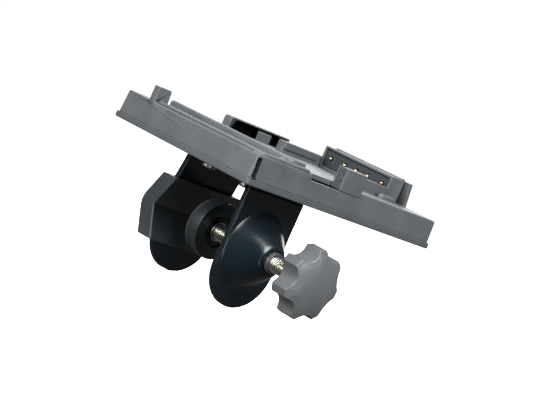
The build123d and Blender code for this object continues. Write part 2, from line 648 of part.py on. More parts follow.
def release_slider():
    """Thumb block in the near wall with a foot down to the bar."""
    end = SLIDER_X + SLIDER_LENGTH
    front = -CASE_HALF + NOTCH_SLOPE
    thumb = block((SLIDER_X, end), (front, -DECK_HALF + SLIDER_DEPTH), (NOTCH_Z + SLIDER_LIFT, SLIDER_TOP))
    for k in range(GRIP_GROOVES):
        groove_y = front + GRIP_FIRST + GRIP_PITCH * k
        thumb = thumb - rod_z(GRIP_R, NOTCH_Z, SLIDER_TOP + 1, SLIDER_X, groove_y)
    foot_x = (SLIDER_X + FOOT_INSET, end - FOOT_INSET)
    foot = block(foot_x, (FOOT_Y, FOOT_Y + FOOT_THICK), (BAR_TOP, NOTCH_Z + 1))
    return thumb + foot


def release_bar():
    """Flat bar inside the case that carries the slider's motion across to the latch."""
    zs = (BAR_Z, BAR_TOP)
    right = BAR_STRIP_X + BAR_STRIP_WIDTH
    eye_y = LATCH_PIN_Y - BAR_EYE
    arm = block((SLIDER_X + 1, right), (FOOT_Y, FOOT_Y + BAR_ARM_WIDTH), zs)
    strip = block((BAR_STRIP_X, right), (FOOT_Y, eye_y + 1), zs)
    eye = block(
        (LATCH_PIN_X - BAR_EYE, LATCH_PIN_X + SLIDER_TRAVEL + BAR_EYE),
        (eye_y, LATCH_PIN_Y + LATCH_TRAVEL + BAR_EYE), zs)
    ends = ((LATCH_PIN_X, LATCH_PIN_Y), (LATCH_PIN_X + SLIDER_TRAVEL, LATCH_PIN_Y + LATCH_TRAVEL))
    slot_path = Wire(Polyline(*ends).edges())
    slot = make_face(offset(slot_path, amount=LATCH_PIN_R + FIT, kind=Kind.ARC).edges())
    return arm + strip + eye - extrude(Pos(0, 0, BAR_Z - 1) * slot, amount=BAR_THICK + 2)


def latch_tongue():
    """Upright tongue with a sloped top, on a foot whose pin runs in the bar's slot."""
    foot_low = BAR_TOP + SLIDER_GAP
    upright = prism_x(
        [(LATCH_FRONT, foot_low), (LATCH_BACK, foot_low), (LATCH_BACK, LATCH_TOP),
         (LATCH_BACK - LATCH_LIP, LATCH_TOP), (LATCH_FRONT, LATCH_TOP - LATCH_SLOPE)],
        LATCH_X, LATCH_X + LATCH_LENGTH)
    foot = block(
        (LATCH_PIN_X - LATCH_FOOT_HALF, LATCH_PIN_X + LATCH_FOOT_HALF),
        (LATCH_PIN_Y - 2 * LATCH_PIN_R, LATCH_BACK), (foot_low, foot_low + BAR_THICK))
    return upright + foot + rod_z(LATCH_PIN_R, BAR_Z, foot_low + ROOT, LATCH_PIN_X, LATCH_PIN_Y)


def return_spring():
    """Sleeve of the coil spring that pushes the bar back towards the contacts."""
    z = BAR_Z + BAR_THICK / 2
    sleeve = rod_x(SPRING_R, SPRING_START, BAR_STRIP_X, 0, z)
    return sleeve - rod_x(SPRING_R - SPRING_WIRE, SPRING_START - 1, BAR_STRIP_X + 1, 0, z)


# ---- Output

def output_socket():
    """Round socket in the far wall with a blind bore."""
    body = rod_y(SOCKET_R, CASE_HALF - SOCKET_LENGTH, CASE_HALF, SOCKET_X, SOCKET_Z)
    flange_y = INNER_WALL_HALF - BLOCK_GAP
    flange = rod_y(SOCKET_R + SOCKET_FLANGE, flange_y - SOCKET_FLANGE_THICK, flange_y, SOCKET_X, SOCKET_Z)
    return body + flange - rod_y(
        SOCKET_BORE_R, CASE_HALF - SOCKET_LENGTH + SOCKET_BACK, CASE_HALF + 1, SOCKET_X, SOCKET_Z)


def socket_pin():
    """Centre pin of the output socket."""
    start = CASE_HALF - SOCKET_LENGTH + SOCKET_BACK
    return rod_y(SOCKET_PIN_R, start, CASE_HALF - SOCKET_PIN_SINK, SOCKET_X, SOCKET_Z)


def output_wires():
    """Two insulated wires from the contact board to the socket, high in the case."""
    run_z = CEILING_Z - WIRE_DROP
    board_x = BOARD_FRONT + BOARD_THICK / 2
    tail_y = CASE_HALF - SOCKET_LENGTH
    wires = []
    for k, y in enumerate(WIRE_Y):
        lane = tail_y - WIRE_LANE + WIRE_STEP * k
        end_x = SOCKET_X + WIRE_SPREAD - 2 * WIRE_SPREAD * k
        points = [
            (board_x, y, BLOCK_LOW + BLOCK_GAP), (board_x, y, run_z), (board_x - 12, y, run_z),
            (board_x - 24, lane, run_z), (end_x + 14, lane, run_z), (end_x, lane + 4, SOCKET_Z),
            (end_x, tail_y, SOCKET_Z)]
        path = FilletPolyline(*points, radius=WIRE_BEND)
        start = Plane(origin=points[0], z_dir=(0, 0, -1))
        wires.append(sweep(start * Circle(WIRE_R), path=path))
    return wires


# ---- Clamp

def sheet_path(points):
    """Face of the bent strip, seen along X, about a centre line of (y, z) points."""
    path = Plane.YZ * FilletPolyline(*points, radius=BEND_R)
    centre = Wire(path.edges())
    half = SHEET / 2
    outline = offset(centre, amount=half, kind=Kind.INTERSECTION)
    return make_face(outline.edges())


def leg_shape():
    """Outline of the strip seen along Y: square at the top and round at the bottom."""
    reach = BRACKET_HALF + JOGGLE + JAW_DEPTH + CONE_HEIGHT
    upper = block((-LEG_R, LEG_R), (-reach, reach), (LEG_CENTRE_Z, CLAMP_DROP))
    return upper + rod_y(LEG_R, -reach, reach, 0, LEG_CENTRE_Z)


def clamp_bracket():
    """U bracket with a pressed cone on one leg and a V bend in the other."""
    top = CLAMP_DROP - SHEET / 2
    low = LEG_BOTTOM - 5
    bush_leg = -BRACKET_HALF + SHEET / 2
    jaw_leg = JAW_LEG_Y
    bend = [
        (bush_leg, low), (bush_leg, top), (jaw_leg - JOGGLE, top), (jaw_leg, JAW_HALF_HEIGHT),
        (jaw_leg + JAW_DEPTH, 0), (jaw_leg, -JAW_HALF_HEIGHT), (jaw_leg, low)]
    strip = extrude(Pos(-LEG_R - 1, 0, 0) * sheet_path(bend), amount=LEG_WIDTH + 2, dir=(1, 0, 0))
    strip = strip & leg_shape()
    strip = strip - rod_y(CONE_BASE_R - 1, -BRACKET_HALF - 1, -BRACKET_HALF + SHEET + 1)
    inner_face = -BRACKET_HALF + SHEET
    root_r = CONE_BASE_R + CONE_ROOT
    seat_r = BUSH_R + BUSH_FLANGE + BUSH_SEAT_GAP
    cone = turned([
        (root_r, inner_face), (root_r, -BRACKET_HALF), (CONE_BASE_R, -BRACKET_HALF),
        (CONE_TOP_R, CONE_TIP_Y), (BUSH_R, CONE_TIP_Y), (BUSH_R, CONE_TIP_Y + SHEET),
        (seat_r, CONE_TIP_Y + SHEET), (CONE_BASE_R - CONE_INSIDE, inner_face)])
    strip = strip + cone
    hole_r = BRACKET_SCREW_R + HOLE_GAP
    for x, y in bracket_screw_points():
        strip = strip - rod_z(hole_r, CLAMP_DROP - SHEET - 1, CLAMP_DROP + 1, x - CLAMP_X, y)
    return strip


def threaded_bush():
    """Bush pressed into the cone's tip, with a flange inside the cone."""
    inner_end = CONE_TIP_Y + SHEET + BUSH_FLANGE_THICK
    flange_r = BUSH_R + BUSH_FLANGE
    outline = [
        (SCREW_R + FIT, BUSH_FRONT_Y), (BUSH_R, BUSH_FRONT_Y), (BUSH_R, CONE_TIP_Y + SHEET),
        (flange_r, CONE_TIP_Y + SHEET), (flange_r, inner_end), (SCREW_R + FIT, inner_end)]
    return turned(outline)


def fixed_jaw(bracket):
    """V jaw moulded right round the bent leg."""
    spread = SHEET / 2 + JAW_COVER
    slant = sqrt(1 + (JAW_DEPTH / JAW_HALF_HEIGHT) ** 2)
    reach = spread * slant - SHEET * (slant - 1) / 2
    near = JAW_LEG_Y - reach
    far = JAW_LEG_Y + reach
    half = JAW_HALF_HEIGHT
    outline = [
        (near, half), (far, half), (far + JAW_DEPTH, 0), (far, -half), (near, -half), (near + JAW_DEPTH, 0)]
    jaw = prism_x(outline, -LEG_R - JAW_OVERHANG, LEG_R + JAW_OVERHANG_FAR)
    apex = jaw.edges().filter_by(Axis.X).sort_by(Axis.Y)[-1]
    jaw = fillet(apex, radius=JAW_APEX_R)
    return jaw - bracket


def clamp_screw():
    """Threaded rod with a neck and a peened head at the pad end."""
    rod = rod_y(SCREW_R, SCREW_END_Y, SHOULDER_Y) + rod_y(NECK_R, SHOULDER_Y - 1, HEAD_Y)
    return rod + rod_y(HEAD_R, HEAD_Y - HEAD_THICK / 2, HEAD_Y + HEAD_THICK / 2)


def pad_washer():
    """Loose washer on the screw's neck, between the thread and the pad."""
    start = SHOULDER_Y + WASHER_GAP
    end = start + WASHER_THICK
    return rod_y(WASHER_R, start, end) - rod_y(NECK_R + 2 * FIT, start - 1, end + 1)


def swivel_pad():
    """Stepped disc that swivels on the screw's neck."""
    pocket = HEAD_Y - HEAD_THICK / 2 - SWING_GAP
    pad = rod_y(PAD_R, PAD_BACK_Y, PAD_FRONT_Y)
    pad = fillet(pad.edges().filter_by(GeomType.CIRCLE).group_by(Axis.Y)[0], radius=PAD_EDGE)
    pad = pad - rod_y(PAD_RECESS_R, PAD_BACK_Y - 1, PAD_FLOOR_Y)
    ring = rod_y(PAD_RING_OUTER_R, PAD_BACK_Y + PAD_RING_SINK, PAD_FLOOR_Y + ROOT)
    ring = ring - rod_y(PAD_RING_INNER_R, PAD_BACK_Y, PAD_FLOOR_Y + 1)
    pad = pad + ring - rod_y(NECK_R + NECK_GAP, PAD_BACK_Y, PAD_FRONT_Y)
    return pad - rod_y(HEAD_R + HEAD_GAP, pocket, PAD_FRONT_Y + 1)


def pad_face():
    """Rubber disc on the front of the swivel pad."""
    face = rod_y(PAD_R - PAD_FACE_INSET, PAD_FRONT_Y, PAD_FRONT_Y + PAD_FACE_THICK)
    return fillet(face.edges().filter_by(GeomType.CIRCLE).group_by(Axis.Y)[-1], radius=PAD_FACE_EDGE)


def star_knob():
    """Scalloped knob with a domed front, hollowed for its hex insert."""
    step = 360 / KNOB_LOBES
    centre = KNOB_R + SCALLOP_BEYOND
    flat = Circle(KNOB_R)
    for k in range(KNOB_LOBES):
        angle = radians(KNOB_PHASE + step * (k + 0.5))
        flat = flat - Pos(centre * cos(angle), centre * sin(angle)) * Circle(SCALLOP_R)
    flat = fillet(flat.vertices(), radius=KNOB_TIP_R)
    facing = Plane(origin=(0, KNOB_REAR_Y, 0), x_dir=(1, 0, 0), z_dir=(0, -1, 0))
    star = extrude(facing * flat, amount=KNOB_WALL + KNOB_DOME)
    rim_y = KNOB_REAR_Y - KNOB_WALL
    cap_r = (KNOB_R ** 2 + KNOB_DOME ** 2) / (2 * KNOB_DOME)
    ball = Pos(0, rim_y - KNOB_DOME + cap_r, 0) * Sphere(cap_r)
    star = star & ball
    socket = extrude(facing * RegularPolygon(INSERT_R, 6), amount=INSERT_LENGTH)
    return star - socket


def knob_insert():
    """Hex steel insert that ties the knob to the screw."""
    facing = Plane(origin=(0, KNOB_REAR_Y, 0), x_dir=(1, 0, 0), z_dir=(0, -1, 0))
    insert = extrude(facing * RegularPolygon(INSERT_R, 6), amount=INSERT_LENGTH)
    return insert - rod_y(SCREW_R, SCREW_END_Y, KNOB_REAR_Y + 1)


# ---- Everything by node name

def build():
    bracket = clamp_bracket()
    plate_nodes = {
        "base_plate": [base_plate()],
        "top_case": [top_case()],
        "case_screws": case_screws(),
        "bracket_screws": bracket_screws(),
        "bracket_nuts": bracket_nuts(),
        "contact_housing": [contact_housing()],
        "housing_screws": housing_screws(),
        "contact_block": [contact_block()],
        "contact_board": [contact_board()],
        "release_slider": [release_slider()],
        "release_bar": [release_bar()],
        "return_spring": [return_spring()],
        "latch_tongue": [latch_tongue()],
        "output_socket": [output_socket()],
        "socket_pin": [socket_pin()],
        "output_wires": output_wires(),
    }
    for number, y in enumerate(PIN_Y, start=1):
        plate_nodes[f"contact_pin_{number}"] = [contact_pin(y)]
        plate_nodes[f"contact_spring_{number}"] = [contact_spring(y)]
    nodes = {name: [on_clamp(solid) for solid in solids] for name, solids in plate_nodes.items()}
    nodes["clamp_bracket"] = [bracket]
    nodes["threaded_bush"] = [threaded_bush()]
    nodes["fixed_jaw"] = [fixed_jaw(bracket)]
    nodes["clamp_screw"] = [clamp_screw()]
    nodes["pad_washer"] = [pad_washer()]
    nodes["swivel_pad"] = [swivel_pad()]
    nodes["pad_face"] = [pad_face()]
    nodes["star_knob"] = [star_knob()]
    nodes["knob_insert"] = [knob_insert()]
    return nodes


os.makedirs("parts", exist_ok=True)
for name, solids in build().items():
    bodies = [solid for shape in solids for solid in shape.solids()]
    shape = bodies[0] if len(bodies) == 1 else Compound(children=bodies)
    export_step(shape, f"parts/{name}.step")
    print(name, len(bodies))
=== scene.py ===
import json
from math import cos, pi, radians, sin

import bmesh
import bpy
import numpy as np
from mathutils import Matrix, Vector


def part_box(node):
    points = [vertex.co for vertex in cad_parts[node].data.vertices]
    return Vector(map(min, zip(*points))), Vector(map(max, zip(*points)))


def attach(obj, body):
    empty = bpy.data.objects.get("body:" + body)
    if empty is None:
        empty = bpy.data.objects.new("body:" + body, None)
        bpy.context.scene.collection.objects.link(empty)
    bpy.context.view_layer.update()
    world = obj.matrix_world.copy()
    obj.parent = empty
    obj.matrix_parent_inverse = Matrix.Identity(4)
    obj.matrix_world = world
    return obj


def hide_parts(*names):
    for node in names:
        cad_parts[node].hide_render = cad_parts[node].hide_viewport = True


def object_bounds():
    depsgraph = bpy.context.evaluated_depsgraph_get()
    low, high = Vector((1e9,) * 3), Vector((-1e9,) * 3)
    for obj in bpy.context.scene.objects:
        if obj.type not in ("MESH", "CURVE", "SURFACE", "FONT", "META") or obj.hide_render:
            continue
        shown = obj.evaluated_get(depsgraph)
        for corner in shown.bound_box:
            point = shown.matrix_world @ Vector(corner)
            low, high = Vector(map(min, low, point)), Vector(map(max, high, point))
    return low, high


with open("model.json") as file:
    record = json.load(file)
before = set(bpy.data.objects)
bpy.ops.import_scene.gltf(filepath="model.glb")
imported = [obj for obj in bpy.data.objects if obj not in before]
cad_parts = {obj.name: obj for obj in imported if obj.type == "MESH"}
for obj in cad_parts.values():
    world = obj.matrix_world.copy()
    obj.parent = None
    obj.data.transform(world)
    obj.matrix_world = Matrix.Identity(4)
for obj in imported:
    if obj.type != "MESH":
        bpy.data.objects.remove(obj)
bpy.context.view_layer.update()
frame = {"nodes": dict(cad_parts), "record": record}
mm = 0.001


# shader helpers

def addNode(tree, kind, **values):  # a node with its properties set
    node = tree.nodes.new(kind)
    for key, value in values.items():
        setattr(node, key, value)
    return node


def setInput(node, name, value):  # a number or colour on a socket
    node.inputs[name].default_value = value


def mathNode(tree, operation, first, second=None):  # first and second are sockets or numbers
    node = addNode(tree, "ShaderNodeMath", operation=operation)
    for slotIndex, value in enumerate((first, second)):
        if value is None:
            continue
        if isinstance(value, (int, float)):
            node.inputs[slotIndex].default_value = value
        else:
            tree.links.new(value, node.inputs[slotIndex])
    return node.outputs[0]


def mapRange(tree, value, fromLow, fromHigh, toLow, toHigh):  # straight line between two ranges, clamped
    node = addNode(tree, "ShaderNodeMapRange", clamp=True)
    tree.links.new(value, node.inputs["Value"])
    ends = {"From Min": fromLow, "From Max": fromHigh, "To Min": toLow, "To Max": toHigh}
    for name, number in ends.items():
        if isinstance(number, (int, float)):
            setInput(node, name, number)
        else:
            tree.links.new(number, node.inputs[name])
    return node.outputs["Result"]


def noiseNode(tree, vector, scale, detail=2.0, rough=0.5):  # scale is a number or a socket, per metre
    node = addNode(tree, "ShaderNodeTexNoise")
    tree.links.new(vector, node.inputs["Vector"])
    if isinstance(scale, (int, float)):
        setInput(node, "Scale", scale)
    else:
        tree.links.new(scale, node.inputs["Scale"])
    setInput(node, "Detail", detail)
    setInput(node, "Roughness", rough)
    return node.outputs["Fac"]


def mixColour(tree, factor, first, second):  # first and second are sockets or colours
    node = addNode(tree, "ShaderNodeMix", data_type="RGBA")
    tree.links.new(factor, node.inputs["Factor"])
    for name, value in (("A", first), ("B", second)):
        socket = [s for s in node.inputs if s.name == name and s.type == "RGBA"][0]
        if isinstance(value, tuple):
            socket.default_value = value
        else:
            tree.links.new(value, socket)
    return [s for s in node.outputs if s.type == "RGBA"][0]


def newGroup(name, inputs, outputs):  # an empty shader group with named float sockets
    group = bpy.data.node_groups.new(name, "ShaderNodeTree")
    for label, value in inputs:
        socket = group.interface.new_socket(name=label, in_out="INPUT", socket_type="NodeSocketFloat")
        socket.default_value = value
    for label in outputs:
        group.interface.new_socket(name=label, in_out="OUTPUT", socket_type="NodeSocketFloat")
    return group, addNode(group, "NodeGroupInput"), addNode(group, "NodeGroupOutput")


def makeGrainGroup():  # moulded grain: fine and coarse noise added, with a slow mottle beside it
    inputs = (("Scale", 2500.0), ("Coarse", 0.4), ("Mottle Scale", 60.0))
    group, enter, leave = newGroup("mouldGrain", inputs, ("Height", "Mottle"))
    place = addNode(group, "ShaderNodeTexCoord").outputs["Object"]
    fine = noiseNode(group, place, enter.outputs["Scale"], 3.0, 0.6)
    wideScale = mathNode(group, "MULTIPLY", enter.outputs["Scale"], 0.22)
    wide = noiseNode(group, place, wideScale, 2.0, 0.5)
    wide = mathNode(group, "MULTIPLY", wide, enter.outputs["Coarse"])
    group.links.new(mathNode(group, "ADD", fine, wide), leave.inputs["Height"])
    mottle = noiseNode(group, place, enter.outputs["Mottle Scale"], 4.0, 0.6)
    group.links.new(mapRange(group, mottle, 0.35, 0.68, 0.0, 1.0), leave.inputs["Mottle"])
    return group


def makeWearAndSheenGroup():  # worn edges and painted edge sheen: outward corners, broken up by noise
    inputs = (("Start", 0.52), ("Full", 0.62), ("Breakup Scale", 400.0))
    group, enter, leave = newGroup("edgeWear", inputs, ("Mask",))
    place = addNode(group, "ShaderNodeTexCoord").outputs["Object"]
    corner = addNode(group, "ShaderNodeNewGeometry").outputs["Pointiness"]
    edge = mapRange(group, corner, enter.outputs["Start"], enter.outputs["Full"], 0.0, 1.0)
    breakup = noiseNode(group, place, enter.outputs["Breakup Scale"], 3.0)
    patches = mapRange(group, breakup, 0.38, 0.62, 0.15, 1.0)
    group.links.new(mathNode(group, "MULTIPLY", edge, patches), leave.inputs["Mask"])
    return group


def makeDustGroup():  # thin dust on faces that look up, thicker in patches
    group, enter, leave = newGroup("dustFilm", (("Amount", 0.3), ("Patch Scale", 90.0)), ("Mask",))
    coords = addNode(group, "ShaderNodeTexCoord")
    split = addNode(group, "ShaderNodeSeparateXYZ")
    group.links.new(coords.outputs["Normal"], split.inputs[0])
    up = mapRange(group, split.outputs["Z"], 0.3, 0.95, 0.0, 1.0)
    drift = noiseNode(group, coords.outputs["Object"], enter.outputs["Patch Scale"], 5.0, 0.65)
    patches = mapRange(group, drift, 0.35, 0.7, 0.2, 1.0)
    film = mathNode(group, "MULTIPLY", up, patches)
    group.links.new(mathNode(group, "MULTIPLY", film, enter.outputs["Amount"]), leave.inputs["Mask"])
    return group


def makeScratchGroup():  # hair scratches: thin lines where a stretched, bent noise crosses its middle value
    inputs = (("Length Scale", 40.0), ("Width", 0.012), ("Turn", 0.4))
    group, enter, leave = newGroup("hairScratches", inputs, ("Mask",))
    coords = addNode(group, "ShaderNodeTexCoord").outputs["Object"]
    turn = addNode(group, "ShaderNodeVectorRotate", rotation_type="X_AXIS")
    group.links.new(coords, turn.inputs["Vector"])
    group.links.new(enter.outputs["Turn"], turn.inputs["Angle"])
    stretch = addNode(group, "ShaderNodeVectorMath", operation="MULTIPLY")
    group.links.new(turn.outputs[0], stretch.inputs[0])
    stretch.inputs[1].default_value = (1.0, 9.0, 9.0)
    lines = noiseNode(group, stretch.outputs[0], enter.outputs["Length Scale"], 1.0)
    away = mathNode(group, "ABSOLUTE", mathNode(group, "SUBTRACT", lines, 0.5))
    thin = mapRange(group, away, 0.0, enter.outputs["Width"], 1.0, 0.0)
    rare = mapRange(group, noiseNode(group, coords, 70.0, 1.0), 0.56, 0.66, 0.0, 1.0)
    group.links.new(mathNode(group, "MULTIPLY", thin, rare), leave.inputs["Mask"])
    return group


def makeRingGroup():  # turning marks: fine rings round the Y axis
    group, enter, leave = newGroup("turningRings", (("Pitch", 0.00025), ("Wander", 0.3)), ("Height",))
    coords = addNode(group, "ShaderNodeTexCoord").outputs["Object"]
    split = addNode(group, "ShaderNodeSeparateXYZ")
    group.links.new(coords, split.inputs[0])
    across = mathNode(group, "MULTIPLY", split.outputs["X"], split.outputs["X"])
    upright = mathNode(group, "MULTIPLY", split.outputs["Z"], split.outputs["Z"])
    radius = mathNode(group, "SQRT", mathNode(group, "ADD", across, upright))
    along = mathNode(group, "ADD", radius, mathNode(group, "MULTIPLY", split.outputs["Y"], 0.7))
    turns = mathNode(group, "MULTIPLY", mathNode(group, "DIVIDE", along, enter.outputs["Pitch"]), 2 * pi)
    wander = mathNode(group, "MULTIPLY", noiseNode(group, coords, 300.0, 2.0), enter.outputs["Wander"])
    wave = mathNode(group, "SINE", mathNode(group, "ADD", turns, mathNode(group, "MULTIPLY", wander, 20.0)))
    group.links.new(wave, leave.inputs["Height"])
    return group


def makeRootShadeGroup():  # painted shade in the thread's bottom: 0 at the thread's bottom and 1 at its crest, by distance from the screw's axis
    group, enter, leave = newGroup("threadRoot", (("Bottom", 3.35 * mm), ("Crest", 3.85 * mm)), ("Mask",))
    split = addNode(group, "ShaderNodeSeparateXYZ")
    group.links.new(addNode(group, "ShaderNodeTexCoord").outputs["Object"], split.inputs[0])
    across = mathNode(group, "POWER", split.outputs["X"], 2.0)
    upward = mathNode(group, "POWER", split.outputs["Z"], 2.0)
    radius = mathNode(group, "SQRT", mathNode(group, "ADD", across, upward))
    mask = mapRange(group, radius, enter.outputs["Bottom"], enter.outputs["Crest"], 0.0, 1.0)
    group.links.new(mask, leave.inputs["Mask"])
    return group


def makePaintedShadeGroup():  # painted shade mask: 1 inside a box given by its centre and half size, fading out over Edge
    names = ("Centre X", "Centre Y", "Centre Z", "Half X", "Half Y", "Half Z", "Edge")
    group, enter, leave = newGroup("hollowShade", tuple((name, 0.001) for name in names), ("Mask",))
    split = addNode(group, "ShaderNodeSeparateXYZ")
    group.links.new(addNode(group, "ShaderNodeTexCoord").outputs["Object"], split.inputs[0])
    outside = None
    for axis in "XYZ":
        away = mathNode(group, "SUBTRACT", split.outputs[axis], enter.outputs["Centre " + axis])
        away = mathNode(group, "SUBTRACT", mathNode(group, "ABSOLUTE", away), enter.outputs["Half " + axis])
        outside = away if outside is None else mathNode(group, "MAXIMUM", outside, away)
    group.links.new(mapRange(group, outside, 0.0, enter.outputs["Edge"], 1.0, 0.0), leave.inputs["Mask"])
    return group


groups = {"grain": makeGrainGroup(), "wear": makeWearAndSheenGroup(), "dust": makeDustGroup(),
          "scratches": makeScratchGroup(), "rings": makeRingGroup(), "root": makeRootShadeGroup(),
          "hollow": makePaintedShadeGroup()}

plainLook = {  # what every finish starts from
    "dark": (0.02, 0.022, 0.024), "light": (0.03, 0.032, 0.034), "worn": (0.09, 0.095, 0.1),
    # shade and shadeSpecular are the colour and specular of the painted shade
    "dust": (0.25, 0.25, 0.24), "shade": (0.0015, 0.002, 0.0025), "shadeSpecular": 0.03,
    "metal": 0.0, "roughLow": 0.4, "roughHigh": 0.5, "specular": 0.5, "coat": 0.0, "coatRough": 0.2,
    "grainScale": 2500.0, "grainCoarse": 0.4, "mottleScale": 60.0, "bump": 0.15, "bumpDistance": 0.05 * mm,
    "wearStart": 0.54, "wearFull": 0.66, "wearAmount": 0.5, "dustAmount": 0.1, "scratchAmount": 0.15,
    "ringPitch": 0.0, "ringBump": 0.0, "rootColour": None, "hollow": None}


def makeFinish(name, **changes):  # one material from the plain look and its own changes
    look = dict(plainLook, **changes)
    material = bpy.data.materials.new(name)
    material.use_nodes = True
    tree = material.node_tree
    shader = tree.nodes["Principled BSDF"]
    grain = addNode(tree, "ShaderNodeGroup", node_tree=groups["grain"])
    setInput(grain, "Scale", look["grainScale"])
    setInput(grain, "Coarse", look["grainCoarse"])
    setInput(grain, "Mottle Scale", look["mottleScale"])
    wear = addNode(tree, "ShaderNodeGroup", node_tree=groups["wear"])
    setInput(wear, "Start", look["wearStart"])
    setInput(wear, "Full", look["wearFull"])
    dust = addNode(tree, "ShaderNodeGroup", node_tree=groups["dust"])
    setInput(dust, "Amount", look["dustAmount"])
    scratches = addNode(tree, "ShaderNodeGroup", node_tree=groups["scratches"])
    # lighter outward edges: partly wear, partly a painted edge highlight
    worn = mathNode(tree, "MULTIPLY", wear.outputs["Mask"], look["wearAmount"])
    scuffed = mathNode(tree, "MULTIPLY", scratches.outputs["Mask"], look["scratchAmount"])
    marked = mathNode(tree, "MAXIMUM", worn, scuffed)
    colour = mixColour(tree, grain.outputs["Mottle"], (*look["dark"], 1.0), (*look["light"], 1.0))
    colour = mixColour(tree, marked, colour, (*look["worn"], 1.0))
    colour = mixColour(tree, dust.outputs["Mask"], colour, (*look["dust"], 1.0))
    # painted shade: the thread's bottom is darkened to a near-black colour
    if look["rootColour"]:
        root = addNode(tree, "ShaderNodeGroup", node_tree=groups["root"])
        colour = mixColour(tree, root.outputs["Mask"], (*look["rootColour"], 1.0), colour)
    # painted shade: near-black colour and low specular inside the box under the latch hood
    if look["hollow"]:
        hollow = addNode(tree, "ShaderNodeGroup", node_tree=groups["hollow"])
        for name, value in look["hollow"].items():
            setInput(hollow, name, value * mm)
        colour = mixColour(tree, hollow.outputs["Mask"], colour, (*look["shade"], 1.0))
        shine = mapRange(tree, hollow.outputs["Mask"], 0.0, 1.0, look["specular"], look["shadeSpecular"])
        tree.links.new(shine, shader.inputs["Specular IOR Level"])
    tree.links.new(colour, shader.inputs["Base Color"])
    rough = mapRange(tree, grain.outputs["Mottle"], 0.0, 1.0, look["roughLow"], look["roughHigh"])
    rough = mathNode(tree, "ADD", rough, mathNode(tree, "MULTIPLY", dust.outputs["Mask"], 0.3))
    tree.links.new(rough, shader.inputs["Roughness"])
    height = grain.outputs["Height"]
    if look["ringBump"] > 0:
        rings = addNode(tree, "ShaderNodeGroup", node_tree=groups["rings"])
        setInput(rings, "Pitch", look["ringPitch"])
        ringHeight = mathNode(tree, "MULTIPLY", rings.outputs["Height"], look["ringBump"])
        height = mathNode(tree, "ADD", height, ringHeight)
    height = mathNode(tree, "SUBTRACT", height, scuffed)
    bump = addNode(tree, "ShaderNodeBump")
    setInput(bump, "Strength", look["bump"])
    setInput(bump, "Distance", look["bumpDistance"])
    tree.links.new(height, bump.inputs["Height"])
    tree.links.new(bump.outputs["Normal"], shader.inputs["Normal"])
    setInput(shader, "Metallic", look["metal"])
    setInput(shader, "Specular IOR Level", look["specular"])
    setInput(shader, "Coat Weight", look["coat"])
    setInput(shader, "Coat Roughness", look["coatRough"])
    return material


paintedHoodShadeBox = {  # the space under the latch hood in mm, painted almost black as shade
    "Centre X": 39.6, "Centre Y": 44.95, "Centre Z": 49.05, "Half X": 22.0, "Half Y": 2.35, "Half Z": 2.95,
    "Edge": 0.3}

